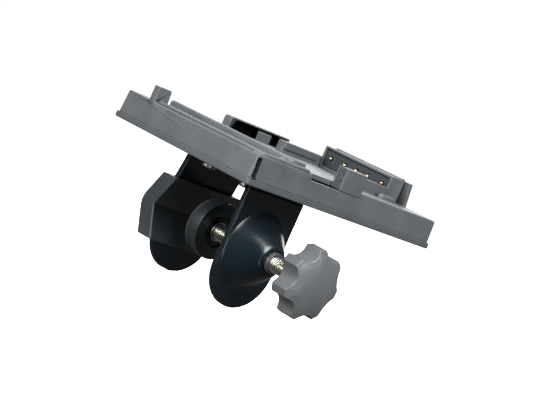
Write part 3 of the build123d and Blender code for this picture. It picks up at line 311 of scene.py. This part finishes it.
finishes = {
    # the case finish carries painted shade under the latch hood
    "case_plastic": makeFinish("satinCasePlastic", dark=(0.062, 0.068, 0.072),
        light=(0.078, 0.084, 0.088), worn=(0.16, 0.17, 0.175), roughLow=0.42, roughHigh=0.52, bump=0.35,
        wearAmount=0.35, hollow=paintedHoodShadeBox),
    "base_plastic": makeFinish("mattBasePlastic", dark=(0.05, 0.056, 0.06), light=(0.064, 0.07, 0.074),
        worn=(0.14, 0.15, 0.155), roughLow=0.5, roughHigh=0.6, bump=0.35),
    "painted_steel": makeFinish("blackGlossPaint", dark=(0.002, 0.006, 0.010),
        light=(0.004, 0.009, 0.013), worn=(0.10, 0.105, 0.11), roughLow=0.24, roughHigh=0.30,
        specular=0.4, grainScale=900.0, grainCoarse=0.8, bump=0.06, wearAmount=0.4, scratchAmount=0.04,
        dustAmount=0.04),
    "jaw_plastic": makeFinish("blackJawMoulding", dark=(0.018, 0.024, 0.028),
        light=(0.024, 0.030, 0.034), worn=(0.10, 0.11, 0.115), roughLow=0.36, roughHigh=0.46, bump=0.25),
    "knob_plastic": makeFinish("charcoalKnobPlastic", dark=(0.075, 0.08, 0.084),
        light=(0.092, 0.097, 0.10), worn=(0.18, 0.185, 0.19), roughLow=0.38, roughHigh=0.48,
        grainScale=1800.0, bump=0.3, wearAmount=0.4),
    # the thread finish carries painted shade in the thread's bottom
    "screw_zinc": makeFinish("yellowZincThread", dark=(0.72, 0.69, 0.58), light=(0.86, 0.84, 0.74),
        worn=(0.95, 0.94, 0.9), dust=(0.3, 0.28, 0.22), metal=1.0, roughLow=0.24, roughHigh=0.4,
        grainScale=4000.0, mottleScale=500.0, bump=0.06, dustAmount=0.1, rootColour=(0.05, 0.045, 0.03)),
    "fastener_steel": makeFinish("darkZincSteel", dark=(0.22, 0.22, 0.23), light=(0.34, 0.34, 0.35),
        worn=(0.7, 0.7, 0.7), metal=1.0, roughLow=0.3, roughHigh=0.42, mottleScale=300.0,
        ringPitch=0.3 * mm, ringBump=0.2),
    "contact_gold": makeFinish("goldPlate", dark=(0.86, 0.62, 0.26), light=(0.96, 0.78, 0.42),
        worn=(1.0, 0.9, 0.65), metal=1.0, roughLow=0.18, roughHigh=0.28, mottleScale=900.0,
        dustAmount=0.0, bump=0.08),
    "spring_steel": makeFinish("brightSpringWire", dark=(0.5, 0.5, 0.5), light=(0.64, 0.64, 0.63),
        worn=(0.8, 0.8, 0.8), metal=1.0, roughLow=0.22, roughHigh=0.32, mottleScale=800.0, bump=0.1),
    "block_plastic": makeFinish("darkInsulator", dark=(0.016, 0.021, 0.025), light=(0.022, 0.028, 0.032),
        roughLow=0.34, roughHigh=0.44, bump=0.2),
    "board": makeFinish("circuitBoard", dark=(0.012, 0.07, 0.03), light=(0.02, 0.1, 0.045),
        worn=(0.2, 0.25, 0.12), roughLow=0.3, roughHigh=0.4, mottleScale=700.0, coat=0.3),
    "pad_rubber": makeFinish("blackRubber", dark=(0.016, 0.016, 0.017), light=(0.028, 0.028, 0.028),
        worn=(0.07, 0.07, 0.07), roughLow=0.68, roughHigh=0.82, specular=0.3, grainScale=1500.0,
        bump=0.5, dustAmount=0.2, ringPitch=1.1 * mm, ringBump=0.5),
    "pad_paint": makeFinish("blackPadPaint", dark=(0.010, 0.014, 0.017), light=(0.015, 0.019, 0.022),
        worn=(0.16, 0.165, 0.17), roughLow=0.3, roughHigh=0.4, ringPitch=0.35 * mm, ringBump=0.25,
        bump=0.15, wearAmount=0.5),
    "bush_steel": makeFinish("bushPaint", dark=(0.05, 0.054, 0.056), light=(0.07, 0.075, 0.077),
        worn=(0.3, 0.3, 0.29), roughLow=0.3, roughHigh=0.4, ringPitch=0.3 * mm, ringBump=0.3,
        wearAmount=0.6),
    "wire_insulation": makeFinish("wireSleeve", dark=(0.24, 0.015, 0.012), light=(0.32, 0.025, 0.02),
        roughLow=0.35, roughHigh=0.45, bump=0.1),
    "socket_plastic": makeFinish("socketPlastic", dark=(0.014, 0.014, 0.015), light=(0.02, 0.02, 0.021),
        roughLow=0.35, roughHigh=0.45, bump=0.2),
}
print("stage 2: finishes made", len(finishes))


# mesh helpers

slotOfNode = {part["node"]: part["material_slot"] for part in frame["record"]["subparts"]}
bodies = frame["record"]["behaviour"]["bodies"]
bodyOfNode = {node: body for body, nodes in bodies.items() for node in nodes}


def camelName(node, tail):  # contact_pin_1 becomes contactPin1 and the tail
    words = node.split("_")
    return words[0] + "".join(word.capitalize() for word in words[1:]) + tail


def settle(piece, node, sharpAngle=35.0):  # smooth faces, sharp edges, and a node's body, slot and finish
    mesh = piece.data
    mesh.polygons.foreach_set("use_smooth", np.ones(len(mesh.polygons), bool))
    mesh.set_sharp_from_angle(angle=radians(sharpAngle))
    mesh.materials.clear()
    mesh.materials.append(finishes[slotOfNode[node]])
    if piece.name not in bpy.context.scene.collection.objects:
        bpy.context.scene.collection.objects.link(piece)
    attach(piece, bodyOfNode[node])
    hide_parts(node)
    return piece


def meshFrom(name, points, faces):  # faces is one array with a row for each face, or a list of such arrays
    mesh = bpy.data.meshes.new(name)
    rows = []
    for block in (faces if isinstance(faces, list) else [faces]):
        rows += [row.tolist() for row in np.asarray(block)]
    mesh.from_pydata(np.asarray(points, float).tolist(), [], rows)
    mesh.update()
    return bpy.data.objects.new(name, mesh)


def gridFaces(rows, columns, closed=True, start=0):  # quads of a grid, whose ends meet if it is closed
    wide = columns if closed else columns - 1
    r, c = np.meshgrid(np.arange(rows - 1), np.arange(wide), indexing="ij")
    nextColumn = (c + 1) % columns
    low, high = r * columns, (r + 1) * columns
    return np.stack((low + c, low + nextColumn, high + nextColumn, high + c), -1).reshape(-1, 4) + start


def cappedTube(name, points, rows, columns):  # rings of points, then the two points that close the ends
    ring = np.arange(columns)
    onward = (ring + 1) % columns
    faces = [gridFaces(rows, columns)]
    for row, pole in ((0, rows * columns), (rows - 1, rows * columns + 1)):
        faces.append(np.stack((row * columns + ring, row * columns + onward, np.full(columns, pole)), -1))
    return outward(meshFrom(name, points, faces))


def outward(piece):  # doubles merged and normals turned outwards
    work = bmesh.new()
    work.from_mesh(piece.data)
    bmesh.ops.remove_doubles(work, verts=work.verts, dist=1e-6)
    bmesh.ops.dissolve_degenerate(work, edges=work.edges, dist=1e-7)
    bmesh.ops.recalc_face_normals(work, faces=work.faces)
    work.to_mesh(piece.data)
    work.free()
    return piece


def roundCorners(outline, radius, steps=4):  # each corner of a closed outline becomes a short curve
    outline = np.asarray(outline, float)
    before = np.roll(outline, 1, 0) - outline
    after = np.roll(outline, -1, 0) - outline
    legs = [leg * np.minimum(radius / np.maximum(np.linalg.norm(leg, axis=1), 1e-9), 0.45)[:, None]
            for leg in (before, after)]
    enter, leave = outline + legs[0], outline + legs[1]
    t = np.linspace(0, 1, steps + 1)[None, :, None]
    curve = (1 - t) ** 2 * enter[:, None] + 2 * t * (1 - t) * outline[:, None] + t ** 2 * leave[:, None]
    return curve.reshape(-1, 2)


def turnedPiece(name, outline, centre=(0, 0, 0), axis="Y", columns=96, radius=0.0, steps=4):
    # closed outline of (radius, along) in mm carried once round an axis through centre
    path = roundCorners(outline, radius, steps) if radius > 0 else np.asarray(outline, float)
    angle = np.arange(columns) * 2 * pi / columns
    around = path[:, 0][:, None]
    along = np.repeat(path[:, 1][:, None], columns, 1)
    first, second = around * np.cos(angle), around * np.sin(angle)
    parts = {"Y": (first, along, second), "X": (along, first, second), "Z": (first, second, along)}[axis]
    points = np.stack(parts, -1).reshape(-1, 3) * mm + np.asarray(centre)
    rows = len(path)
    faces = gridFaces(rows + 1, columns) % (rows * columns)  # the last row joins the first
    return outward(meshFrom(name, points, faces))


def softCopy(node, width=0.35, limit=35.0):  # a CAD node's mesh merged, with its sharp edges rounded
    mesh = frame["nodes"][node].data.copy()
    piece = bpy.data.objects.new(camelName(node, "Shell"), mesh)
    piece.data.name = piece.name
    work = bmesh.new()
    work.from_mesh(mesh)
    bmesh.ops.remove_doubles(work, verts=work.verts, dist=1e-6)
    bmesh.ops.dissolve_limit(work, angle_limit=radians(1.0), verts=work.verts, edges=work.edges)
    work.to_mesh(mesh)
    work.free()
    bpy.context.scene.collection.objects.link(piece)
    settle(piece, node)
    if width > 0:
        edge = piece.modifiers.new("roundedEdges", "BEVEL")
        edge.width = width * mm
        edge.segments = 2
        edge.limit_method = "ANGLE"
        edge.angle_limit = radians(limit)
        edge.use_clamp_overlap = False
        edge.harden_normals = True
        edge.miter_outer = "MITER_ARC"
    return piece


# bracket: one sheet, a polar patch round the screw on the near leg and a strip over the rest

bracket = {
    "sheet": 3.0, "half": 23.5, "legHalf": 19.99, "legCentre": -9.2, "top": 31.8, "bendRadius": 3.0,
    "joggle": 2.4, "coneMargin": 0.6, "coneShare": 0.72, "rimRound": 0.4,
    "hole": 5.3, "coneFoot": 18.9, "coneHeight": 14.3, "coneTop": 6.9, "softFoot": 0.77, "softTop": 0.572,
    "vHalf": 16.2, "vDepth": 7.5, "rings": 46, "columns": 240, "profileStep": 0.9, "arcStep": 0.4}


def coneRise(radius):  # straight cone with rounded shoulders: the difference of two softened ramps
    foot, top, height = bracket["coneFoot"], bracket["coneTop"], bracket["coneHeight"]
    slope = height / (foot - top)
    soft = lambda x, width: width * np.log1p(np.exp(np.clip(x / width, -40, 40)))
    ramp = soft((foot - radius) * slope, bracket["softFoot"])
    return ramp - soft((foot - radius) * slope - height, bracket["softTop"])


def makeBracket():
    half, sheet = bracket["half"], bracket["sheet"]
    legY, topZ = -half + sheet / 2, bracket["top"] - sheet / 2
    bendZ = topZ - bracket["bendRadius"]
    columns, rings = bracket["columns"], bracket["rings"]
    angle = np.arange(columns) * 2 * pi / columns + 1e-6
    c, s = np.cos(angle), np.sin(angle)
    # reach of the leg's outline at each angle: sides, top edge and round end
    sides = bracket["legHalf"] / np.maximum(np.abs(c), 1e-6)
    upper = np.where(s > 1e-6, bendZ / np.maximum(s, 1e-6), 1e9)
    low = s * bracket["legCentre"]
    lower = low + np.sqrt(low ** 2 - bracket["legCentre"] ** 2 + bracket["legHalf"] ** 2)
    sideZ = sides * s
    reach = np.where(sideZ < bracket["legCentre"], lower, np.minimum(sides, upper))
    t = np.linspace(0, 1, rings)[:, None]
    inner, split = bracket["hole"], bracket["coneShare"]
    outer = bracket["coneFoot"] + bracket["coneMargin"]
    onCone = inner + (outer - inner) * t / split
    onFlat = outer + (reach - outer) * (t - split) / (1 - split)
    radius = np.where(t < split, onCone, onFlat)
    points = np.stack((radius * c, legY - coneRise(radius), radius * s), -1).reshape(-1, 3)
    faces = [gridFaces(rings, columns)]
    # the strip's columns are the patch's points along its top edge
    edge = np.where((reach >= upper - 1e-6) & (s > 0))[0]
    edge = edge[np.argsort(-(reach * c)[edge])]
    edgeX = np.clip((reach * c)[edge], -bracket["legHalf"], bracket["legHalf"])
    edgeX[0], edgeX[-1] = bracket["legHalf"], -bracket["legHalf"]
    points[(rings - 1) * columns + edge, 0] = edgeX
    profile = bracketProfile()
    rows = len(profile)
    wide = len(edgeX)
    z = profile[:, 1]
    below = np.clip(bracket["legCentre"] - z, 0, bracket["legHalf"])
    narrow = np.sqrt(np.maximum(bracket["legHalf"] ** 2 - below ** 2, 0.0)) / bracket["legHalf"]
    onFarLeg = profile[:, 0] > 0
    narrow = np.where(onFarLeg, narrow, 1.0)
    strip = np.stack((edgeX[None, :] * narrow[:, None], np.repeat(profile[:, 0][:, None], wide, 1),
                      np.repeat(z[:, None], wide, 1)), -1).reshape(-1, 3)
    faces.append(gridFaces(rows, wide, closed=False, start=len(points)))
    piece = outward(meshFrom("bracketSheet", np.concatenate((points, strip)) * mm, faces))
    wall = piece.modifiers.new("sheetThickness", "SOLIDIFY")
    wall.thickness = sheet * mm
    wall.offset = 0.0
    wall.use_even_offset = True
    lip = piece.modifiers.new("roundedRim", "BEVEL")
    lip.width = bracket["rimRound"] * mm
    lip.segments = 2
    lip.limit_method = "ANGLE"
    lip.angle_limit = radians(50)
    lip.use_clamp_overlap = False
    return settle(piece, "clamp_bracket", 50.0)


def bracketProfile():  # centre line over the web and down the far leg, corners as arcs
    half, thick, joggle = bracket["half"], bracket["sheet"], bracket["joggle"]
    bend, vHalf = bracket["bendRadius"], bracket["vHalf"]
    legY, topZ, farY = -half + thick / 2, bracket["top"] - thick / 2, half + joggle - thick / 2
    bottom = bracket["legCentre"] - bracket["legHalf"] + 0.001
    corners = [(legY, topZ - bend), (legY, topZ), (farY - joggle, topZ), (farY, vHalf),
               (farY + bracket["vDepth"], 0), (farY, -vHalf), (farY, bottom)]
    return filletPath(corners, bend, bracket["profileStep"], bracket["arcStep"])


def filletPath(corners, radius, step, arcStep):  # straight runs joined by arcs of one radius
    corners = np.asarray(corners, float)
    path = [corners[0]]
    for before, here, after in zip(corners[:-2], corners[1:-1], corners[2:]):
        a = (before - here) / np.linalg.norm(before - here)
        b = (after - here) / np.linalg.norm(after - here)
        halfTurn = np.arccos(np.clip(a @ b, -1, 1)) / 2
        back = min(radius / np.tan(halfTurn), np.linalg.norm(before - here) * 0.999)
        centre = here + (a + b) / np.linalg.norm(a + b) * (radius / np.sin(halfTurn))
        start, end = here + a * back - centre, here + b * back - centre
        sweep = pi - 2 * halfTurn
        t = np.linspace(0, 1, max(4, int(radius * sweep / arcStep)))[:, None]
        arc = centre + (np.sin((1 - t) * sweep) * start + np.sin(t * sweep) * end) / np.sin(sweep)
        path += list(arc)
    path.append(corners[-1])
    path = np.asarray(path)
    dense = [path[0]]
    for start, end in zip(path[:-1], path[1:]):
        count = max(1, int(np.linalg.norm(end - start) / step))
        dense += [start + (end - start) * k / count for k in range(1, count + 1)]
    dense = np.asarray(dense)
    keep = np.concatenate(([True], np.linalg.norm(np.diff(dense, axis=0), axis=1) > 1e-4))
    return dense[keep]


# star knob

knob = {
    "lobes": 7, "phase": -2.6, "radius": 17.6, "scallopRadius": 7.0, "scallopCentre": 21.0,
    "graze": 19.8, "blend": 0.45, "rear": -56.4, "wall": 10.0, "dome": 3.99, "edge": 1.1,
    "hubRadius": 9.0, "hubDepth": 0.9, "hubLip": 0.6, "grooveWidth": 0.8, "grooveSlope": 0.4,
    "domeEase": 6, "columns": 420, "wallRows": 12, "edgeRows": 7, "domeRows": 26}


def knobReach(angle):  # the circle cut by round scallops, with softened corners
    step = 2 * pi / knob["lobes"]
    turn = (angle - radians(knob["phase"]) + pi / knob["lobes"]) % step
    off = np.minimum(np.abs(turn), np.abs(turn - step))
    centre = knob["scallopCentre"]
    inside = knob["scallopRadius"] ** 2 - (centre * np.sin(off)) ** 2
    graze = knob["graze"]  # where a line from the axis just touches the scallop
    cut = np.where(inside > 0, centre * np.cos(off) - np.sqrt(np.maximum(inside, 0)), graze)
    k = knob["blend"]
    return -k * np.log(np.exp(-knob["radius"] / k) + np.exp(-cut / k))


def makeKnob():
    columns, edge, rear = knob["columns"], knob["edge"], knob["rear"]
    angle = np.arange(columns) * 2 * pi / columns
    reach = knobReach(angle)[None, :]
    cap = (knob["radius"] ** 2 + knob["dome"] ** 2) / (2 * knob["dome"])  # radius of the domed front
    tip = rear - knob["wall"] - knob["dome"]
    front = lambda r: tip + cap - np.sqrt(cap ** 2 - r ** 2)
    turn = np.linspace(0, pi / 2, knob["edgeRows"])[:, None]
    flat = np.linspace(0, 1, knob["wallRows"])[:, None]
    shrink = np.linspace(1, 0, knob["domeRows"])[1:, None]
    hub, groove, sunk = knob["hubRadius"], knob["hubRadius"] + knob["grooveWidth"], rear - knob["hubDepth"]
    rows = [(0.01, rear), (hub - knob["hubLip"], rear), (hub, sunk), (groove, sunk),
            (groove + knob["grooveSlope"], rear)]
    rows.append((reach - edge + edge * np.sin(turn), rear - edge * (1 - np.cos(turn))))
    wallEnd = front(reach) + edge
    rows.append((reach + 0 * flat, rear - edge + (wallEnd - rear + edge) * flat))
    rows.append((reach - edge * (1 - np.cos(turn)), wallEnd - edge * np.sin(turn)))
    inward = (reach - edge) * shrink
    settleIn = front(reach - edge) - (wallEnd - edge)
    rows.append((np.maximum(inward, 0.01), front(inward) - settleIn * shrink ** knob["domeEase"]))
    spread = lambda values: np.broadcast_to(values, (len(np.atleast_2d(values)), columns))
    r = np.concatenate([spread(radius) for radius, _ in rows])
    y = np.concatenate([spread(along) for _, along in rows])
    points = np.stack((r * np.cos(angle), y, r * np.sin(angle)), -1).reshape(-1, 3)
    points = np.concatenate((points, [[0, rear, 0], [0, tip, 0]])) * mm
    return settle(cappedTube("knobBody", points, len(r), columns), "star_knob", 50.0)


# clamp screw with its thread

screw = {
    "radius": 3.97, "pitch": 1.25, "depth": 0.76, "start": -62.4, "shoulder": 2.2, "neck": 3.0,
    "neckEnd": 5.9, "head": 4.55, "headThick": 1.0, "columns": 48, "perPitch": 12, "lead": 0.2,
    "runout": 1.0, "bevel": 0.5, "bevelDepth": 0.4, "crest": 0.10, "flanks": 0.72}


def threadShape(phase):  # depth over one pitch: flat crest, straight flanks and a narrow root
    away = np.abs((phase % 1.0) - 0.5) * 2
    return np.clip((away - screw["crest"]) / screw["flanks"], 0, 1) ** 1.1


def makeScrew():
    columns, start, shoulder = screw["columns"], screw["start"], screw["shoulder"]
    angle = np.arange(columns) * 2 * pi / columns
    step = screw["pitch"] / screw["perPitch"]
    y = np.arange(start, shoulder + step / 2, step)[:, None]
    fadeOut = np.clip((shoulder - screw["lead"] - y) / screw["runout"], 0, 1)
    fadeIn = np.clip((y - start - screw["lead"]) / screw["runout"], 0, 1)
    turns = y / screw["pitch"] + angle[None, :] / (2 * pi)
    cut = threadShape(turns) * screw["depth"] * fadeOut * fadeIn
    bevel, bevelDepth = screw["bevel"], screw["bevelDepth"]
    endBevel = np.clip((y - shoulder + bevel) / bevel, 0, 1) * bevelDepth
    startBevel = np.clip((start + bevel - y) / bevel, 0, 1) * bevelDepth
    r = screw["radius"] - cut - endBevel - startBevel
    head, low = screw["head"], screw["neckEnd"] - screw["headThick"] / 2
    high = low + screw["headThick"]
    tail = np.array([(screw["neck"], shoulder + 0.01), (screw["neck"], low), (head - 0.2, low),
                     (head, low + 0.2), (head, high - 0.3), (head - 0.4, high - 0.05), (1.2, high),
                     (0.01, high)])
    r = np.concatenate((np.full((1, columns), 0.01), r, np.repeat(tail[:, :1], columns, 1)))
    along = np.concatenate((np.full((1, columns), start), np.repeat(y, columns, 1),
                            np.repeat(tail[:, 1:], columns, 1)))
    points = np.stack((r * np.cos(angle), along, r * np.sin(angle)), -1).reshape(-1, 3)
    points = np.concatenate((points, [[0, start, 0], [0, high, 0]])) * mm
    return settle(cappedTube("screwThread", points, len(r), columns), "clamp_screw", 70.0)


# pad, its rubber, bush and washer, all turned about the screw's axis

pad = {
    "radius": 14.5, "back": 2.0, "front": 9.2, "recess": 8.3, "floor": 3.5, "ringOuter": 6.9,
    "ringInner": 5.7, "ringBack": 2.7, "neckHole": 3.4, "headHole": 5.2, "headFloor": 5.1,
    "faceThick": 1.8, "faceRadius": 14.1, "rimWidth": 3.0, "rimSlope": 0.4, "rimDrop": 0.25,
    "edgeDrop": 0.5, "soft": 0.4, "rubberSoft": 0.5}


def makePad():
    p = pad
    rim = p["radius"] - p["rimWidth"]
    outline = [(p["neckHole"], p["floor"]), (p["ringInner"], p["floor"]), (p["ringInner"], p["ringBack"]),
               (p["ringOuter"], p["ringBack"]), (p["ringOuter"], p["floor"]), (p["recess"], p["floor"]),
               (p["recess"], p["back"]), (rim, p["back"]), (rim + p["rimSlope"], p["back"] + p["rimDrop"]),
               (p["radius"], p["back"] + p["edgeDrop"]), (p["radius"], p["front"]),
               (p["headHole"], p["front"]), (p["headHole"], p["headFloor"]),
               (p["neckHole"], p["headFloor"])]
    settle(turnedPiece("padDisc", outline, radius=p["soft"]), "swivel_pad")
    front = p["front"] + p["faceThick"]
    rubber = [(0.01, p["front"]), (p["faceRadius"], p["front"]), (p["faceRadius"], front), (0.01, front)]
    settle(turnedPiece("padRubber", rubber, radius=p["rubberSoft"]), "pad_face")


bush = {"bore": 4.05, "radius": 5.3, "front": -39.5, "rim": -34.8, "flange": 6.3, "inner": -33.8,
        "soft": 0.35}


def makeBush():
    b = bush
    outline = [(b["bore"], b["front"]), (b["radius"], b["front"]), (b["radius"], b["rim"]),
               (b["flange"], b["rim"]), (b["flange"], b["inner"]), (b["bore"], b["inner"])]
    settle(turnedPiece("bushRing", outline, radius=b["soft"]), "threaded_bush")


washer = {"inner": 3.1, "outer": 5.2, "start": 2.3, "thick": 0.8, "soft": 0.15}


def makeWasher():
    w = washer
    end = w["start"] + w["thick"]
    outline = [(w["inner"], w["start"]), (w["outer"], w["start"]), (w["outer"], end), (w["inner"], end)]
    settle(turnedPiece("padWasherRing", outline, radius=w["soft"]), "pad_washer")


# contact pins and coil springs

pin = {"tip": 0.8, "collar": 1.15, "tail": 0.45, "collarLength": 1.0, "tailLength": 2.0}


def makePins():
    for number in range(1, 6):
        node = f"contact_pin_{number}"
        low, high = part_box(node)
        centre = (0, (low.y + high.y) / 2, (low.z + high.z) / 2)
        x0, x1 = low.x / mm, high.x / mm
        turn = np.linspace(0, pi / 2, 10)
        nose = np.stack((pin["tip"] * np.sin(turn), x0 + pin["tip"] * (1 - np.cos(turn))), -1)
        behind = x1 - pin["tailLength"]
        ahead = behind - pin["collarLength"]
        body = np.array([(pin["tip"], ahead), (pin["collar"], ahead), (pin["collar"], behind),
                         (pin["tail"], behind), (pin["tail"], x1), (0.01, x1)])
        outline = np.concatenate(([(0.01, x0)], nose[1:], body))
        settle(turnedPiece(camelName(node, "Turned"), outline, centre, "X", 40), node, 40.0)


coils = {"contactTurns": 6, "contactWire": 0.16, "returnTurns": 9, "returnWire": 0.25, "endSpread": 0.21,
         "ringPoints": 10, "perTurn": 28}


def makeCoil(node, turns, wire):  # a wire circle along a helix, its turns wider apart at the ends
    low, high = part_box(node)
    centre = ((low.y + high.y) / 2, (low.z + high.z) / 2)
    radius = (high.y - low.y) / 2 - wire * mm
    ringPoints = coils["ringPoints"]
    t = np.linspace(0, 1, turns * coils["perTurn"] + 1)
    angle = t * turns * 2 * pi
    span = high.x - low.x - 2 * wire * mm
    x = low.x + wire * mm + span * (t + coils["endSpread"] * np.sin(2 * pi * t) / (2 * pi))
    middle = np.stack((x, centre[0] + radius * np.cos(angle), centre[1] + radius * np.sin(angle)), -1)
    ahead = np.gradient(middle, axis=0)
    ahead /= np.linalg.norm(ahead, axis=1)[:, None]
    out = np.stack((0 * t, np.cos(angle), np.sin(angle)), -1)
    side = np.cross(ahead, out)
    around = np.arange(ringPoints) * 2 * pi / ringPoints
    ring = np.cos(around)[None, :, None] * out[:, None] + np.sin(around)[None, :, None] * side[:, None]
    points = (middle[:, None] + ring * wire * mm).reshape(-1, 3)
    points = np.concatenate((points, middle[:1], middle[-1:]))
    settle(cappedTube(camelName(node, "Coil"), points, len(t), ringPoints), node, 60.0)


makeBracket()
makeKnob()
makeScrew()
makePad()
makeBush()
makeWasher()
makePins()
for number in range(1, 6):
    makeCoil(f"contact_spring_{number}", coils["contactTurns"], coils["contactWire"])
makeCoil("return_spring", coils["returnTurns"], coils["returnWire"])
print("stage 3: turned and pressed pieces made")

softWidths = {"top_case": 0.3, "base_plate": 0.3, "contact_housing": 0.4, "contact_block": 0.25,
              "release_slider": 0.45, "latch_tongue": 0.25, "fixed_jaw": 0.6, "output_socket": 0.25}
for node, width in softWidths.items():
    softCopy(node, width)
print("stage 4: moulded pieces softened")

for node, piece in frame["nodes"].items():
    piece.data.materials.clear()
    piece.data.materials.append(finishes[slotOfNode[node]])

# stage, light and camera

studio = {
    "floorDrop": 0.09, "floorRadius": 4.0, "floorSides": 96, "floorColour": (0.92, 0.92, 0.92, 1.0),
    "floorMottle": 0.985, "floorGlow": 1.1, "skyWhite": 1.05, "skyFill": 0.15, "lampTarget": (0, 0, 0.02),
    "lamps": {  # power, size and place
        "keySoftbox": (42.0, 0.8, (-0.2, -1.2, 0.95)),
        "leftSoftbox": (30.0, 0.8, (-1.35, 0.15, 0.45)),
        "backPanel": (30.0, 1.8, (1.3, 1.4, 0.45)),
        "topSoftbox": (12.0, 1.0, (0.1, 0.3, 1.3)),
        "lowSoftbox": (2.5, 0.5, (-0.2, -1.0, -0.2))}}

view = {"aim": (0.0102, -0.0085, 0.0238), "azimuth": 47.45, "elevation": 4.28, "distance": 0.727,
        "roll": 24.05, "lens": 101.3, "sensor": 36.0, "near": 0.01, "far": 20.0}


def makeFloor():
    sides = studio["floorSides"]
    index = np.arange(sides)
    angle = index * 2 * pi / sides
    ring = np.stack((np.cos(angle), np.sin(angle), 0 * angle), -1) * studio["floorRadius"]
    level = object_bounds()[0].z - studio["floorDrop"]
    points = np.concatenate((ring, [[0, 0, 0]])) + np.array([0, 0, level])
    floor = meshFrom("floorDisc", points, np.stack((index, (index + 1) % sides, np.full(sides, sides)), -1))
    material = bpy.data.materials.new("paleFloor")
    material.use_nodes = True
    tree = material.node_tree
    shader = tree.nodes["Principled BSDF"]
    place = addNode(tree, "ShaderNodeTexCoord").outputs["Object"]
    tone = mapRange(tree, noiseNode(tree, place, 3.0, 3.0), 0.3, 0.7, 0.0, 1.0)
    pale = studio["floorColour"]
    dimmer = (*(v * studio["floorMottle"] for v in pale[:3]), 1.0)
    tree.links.new(mixColour(tree, tone, pale, dimmer), shader.inputs["Base Color"])
    setInput(shader, "Roughness", 0.9)
    setInput(shader, "Emission Color", (1.0, 1.0, 1.0, 1.0))
    setInput(shader, "Emission Strength", studio["floorGlow"])
    floor.data.materials.append(material)
    bpy.context.scene.collection.objects.link(floor)
    floor.visible_glossy = False
    floor.visible_diffuse = False


def areaLight(name, power, size, place):  # a square softbox that faces the object
    light = bpy.data.lights.new(name, "AREA")
    light.energy = power
    light.size = size
    lamp = bpy.data.objects.new(name, light)
    lamp.location = place
    lamp.visible_camera = False
    aim = Vector(studio["lampTarget"]) - Vector(place)
    lamp.rotation_euler = aim.to_track_quat("-Z", "Y").to_euler()
    bpy.context.scene.collection.objects.link(lamp)


def makeWorld():  # white where the camera looks past the object, dimmer as a light
    world = bpy.data.worlds.new("paleStudio")
    bpy.context.scene.world = world
    world.use_nodes = True
    tree = world.node_tree
    background = tree.nodes["Background"]
    seen = addNode(tree, "ShaderNodeLightPath").outputs["Is Camera Ray"]
    setInput(background, "Color", (0.98, 0.99, 1.0, 1.0))
    strength = mapRange(tree, seen, 0.0, 1.0, studio["skyFill"], studio["skyWhite"])
    tree.links.new(strength, background.inputs["Strength"])


def makeCamera():
    camera = bpy.data.cameras.new("photoCamera")
    camera.lens = view["lens"]
    camera.sensor_width = view["sensor"]
    camera.clip_start = view["near"]
    camera.clip_end = view["far"]
    holder = bpy.data.objects.new("photoCamera", camera)
    az, el = radians(view["azimuth"]), radians(view["elevation"])
    ahead = Vector((sin(az) * cos(el), cos(az) * cos(el), -sin(el)))
    right = ahead.cross(Vector((0, 0, 1))).normalized()
    turn = Matrix((right, right.cross(ahead), -ahead)).transposed()
    roll = Matrix.Rotation(radians(view["roll"]), 3, "Z")
    place = Matrix.Translation(Vector(view["aim"]) - ahead * view["distance"])
    holder.matrix_world = place @ (turn @ roll).to_4x4()
    bpy.context.scene.collection.objects.link(holder)
    bpy.context.scene.camera = holder


makeFloor()
makeWorld()
for name, (power, size, place) in studio["lamps"].items():
    areaLight(name, power, size, place)
makeCamera()
bpy.context.scene.view_settings.view_transform = "Standard"
print("stage 5: stage, lights and camera set")
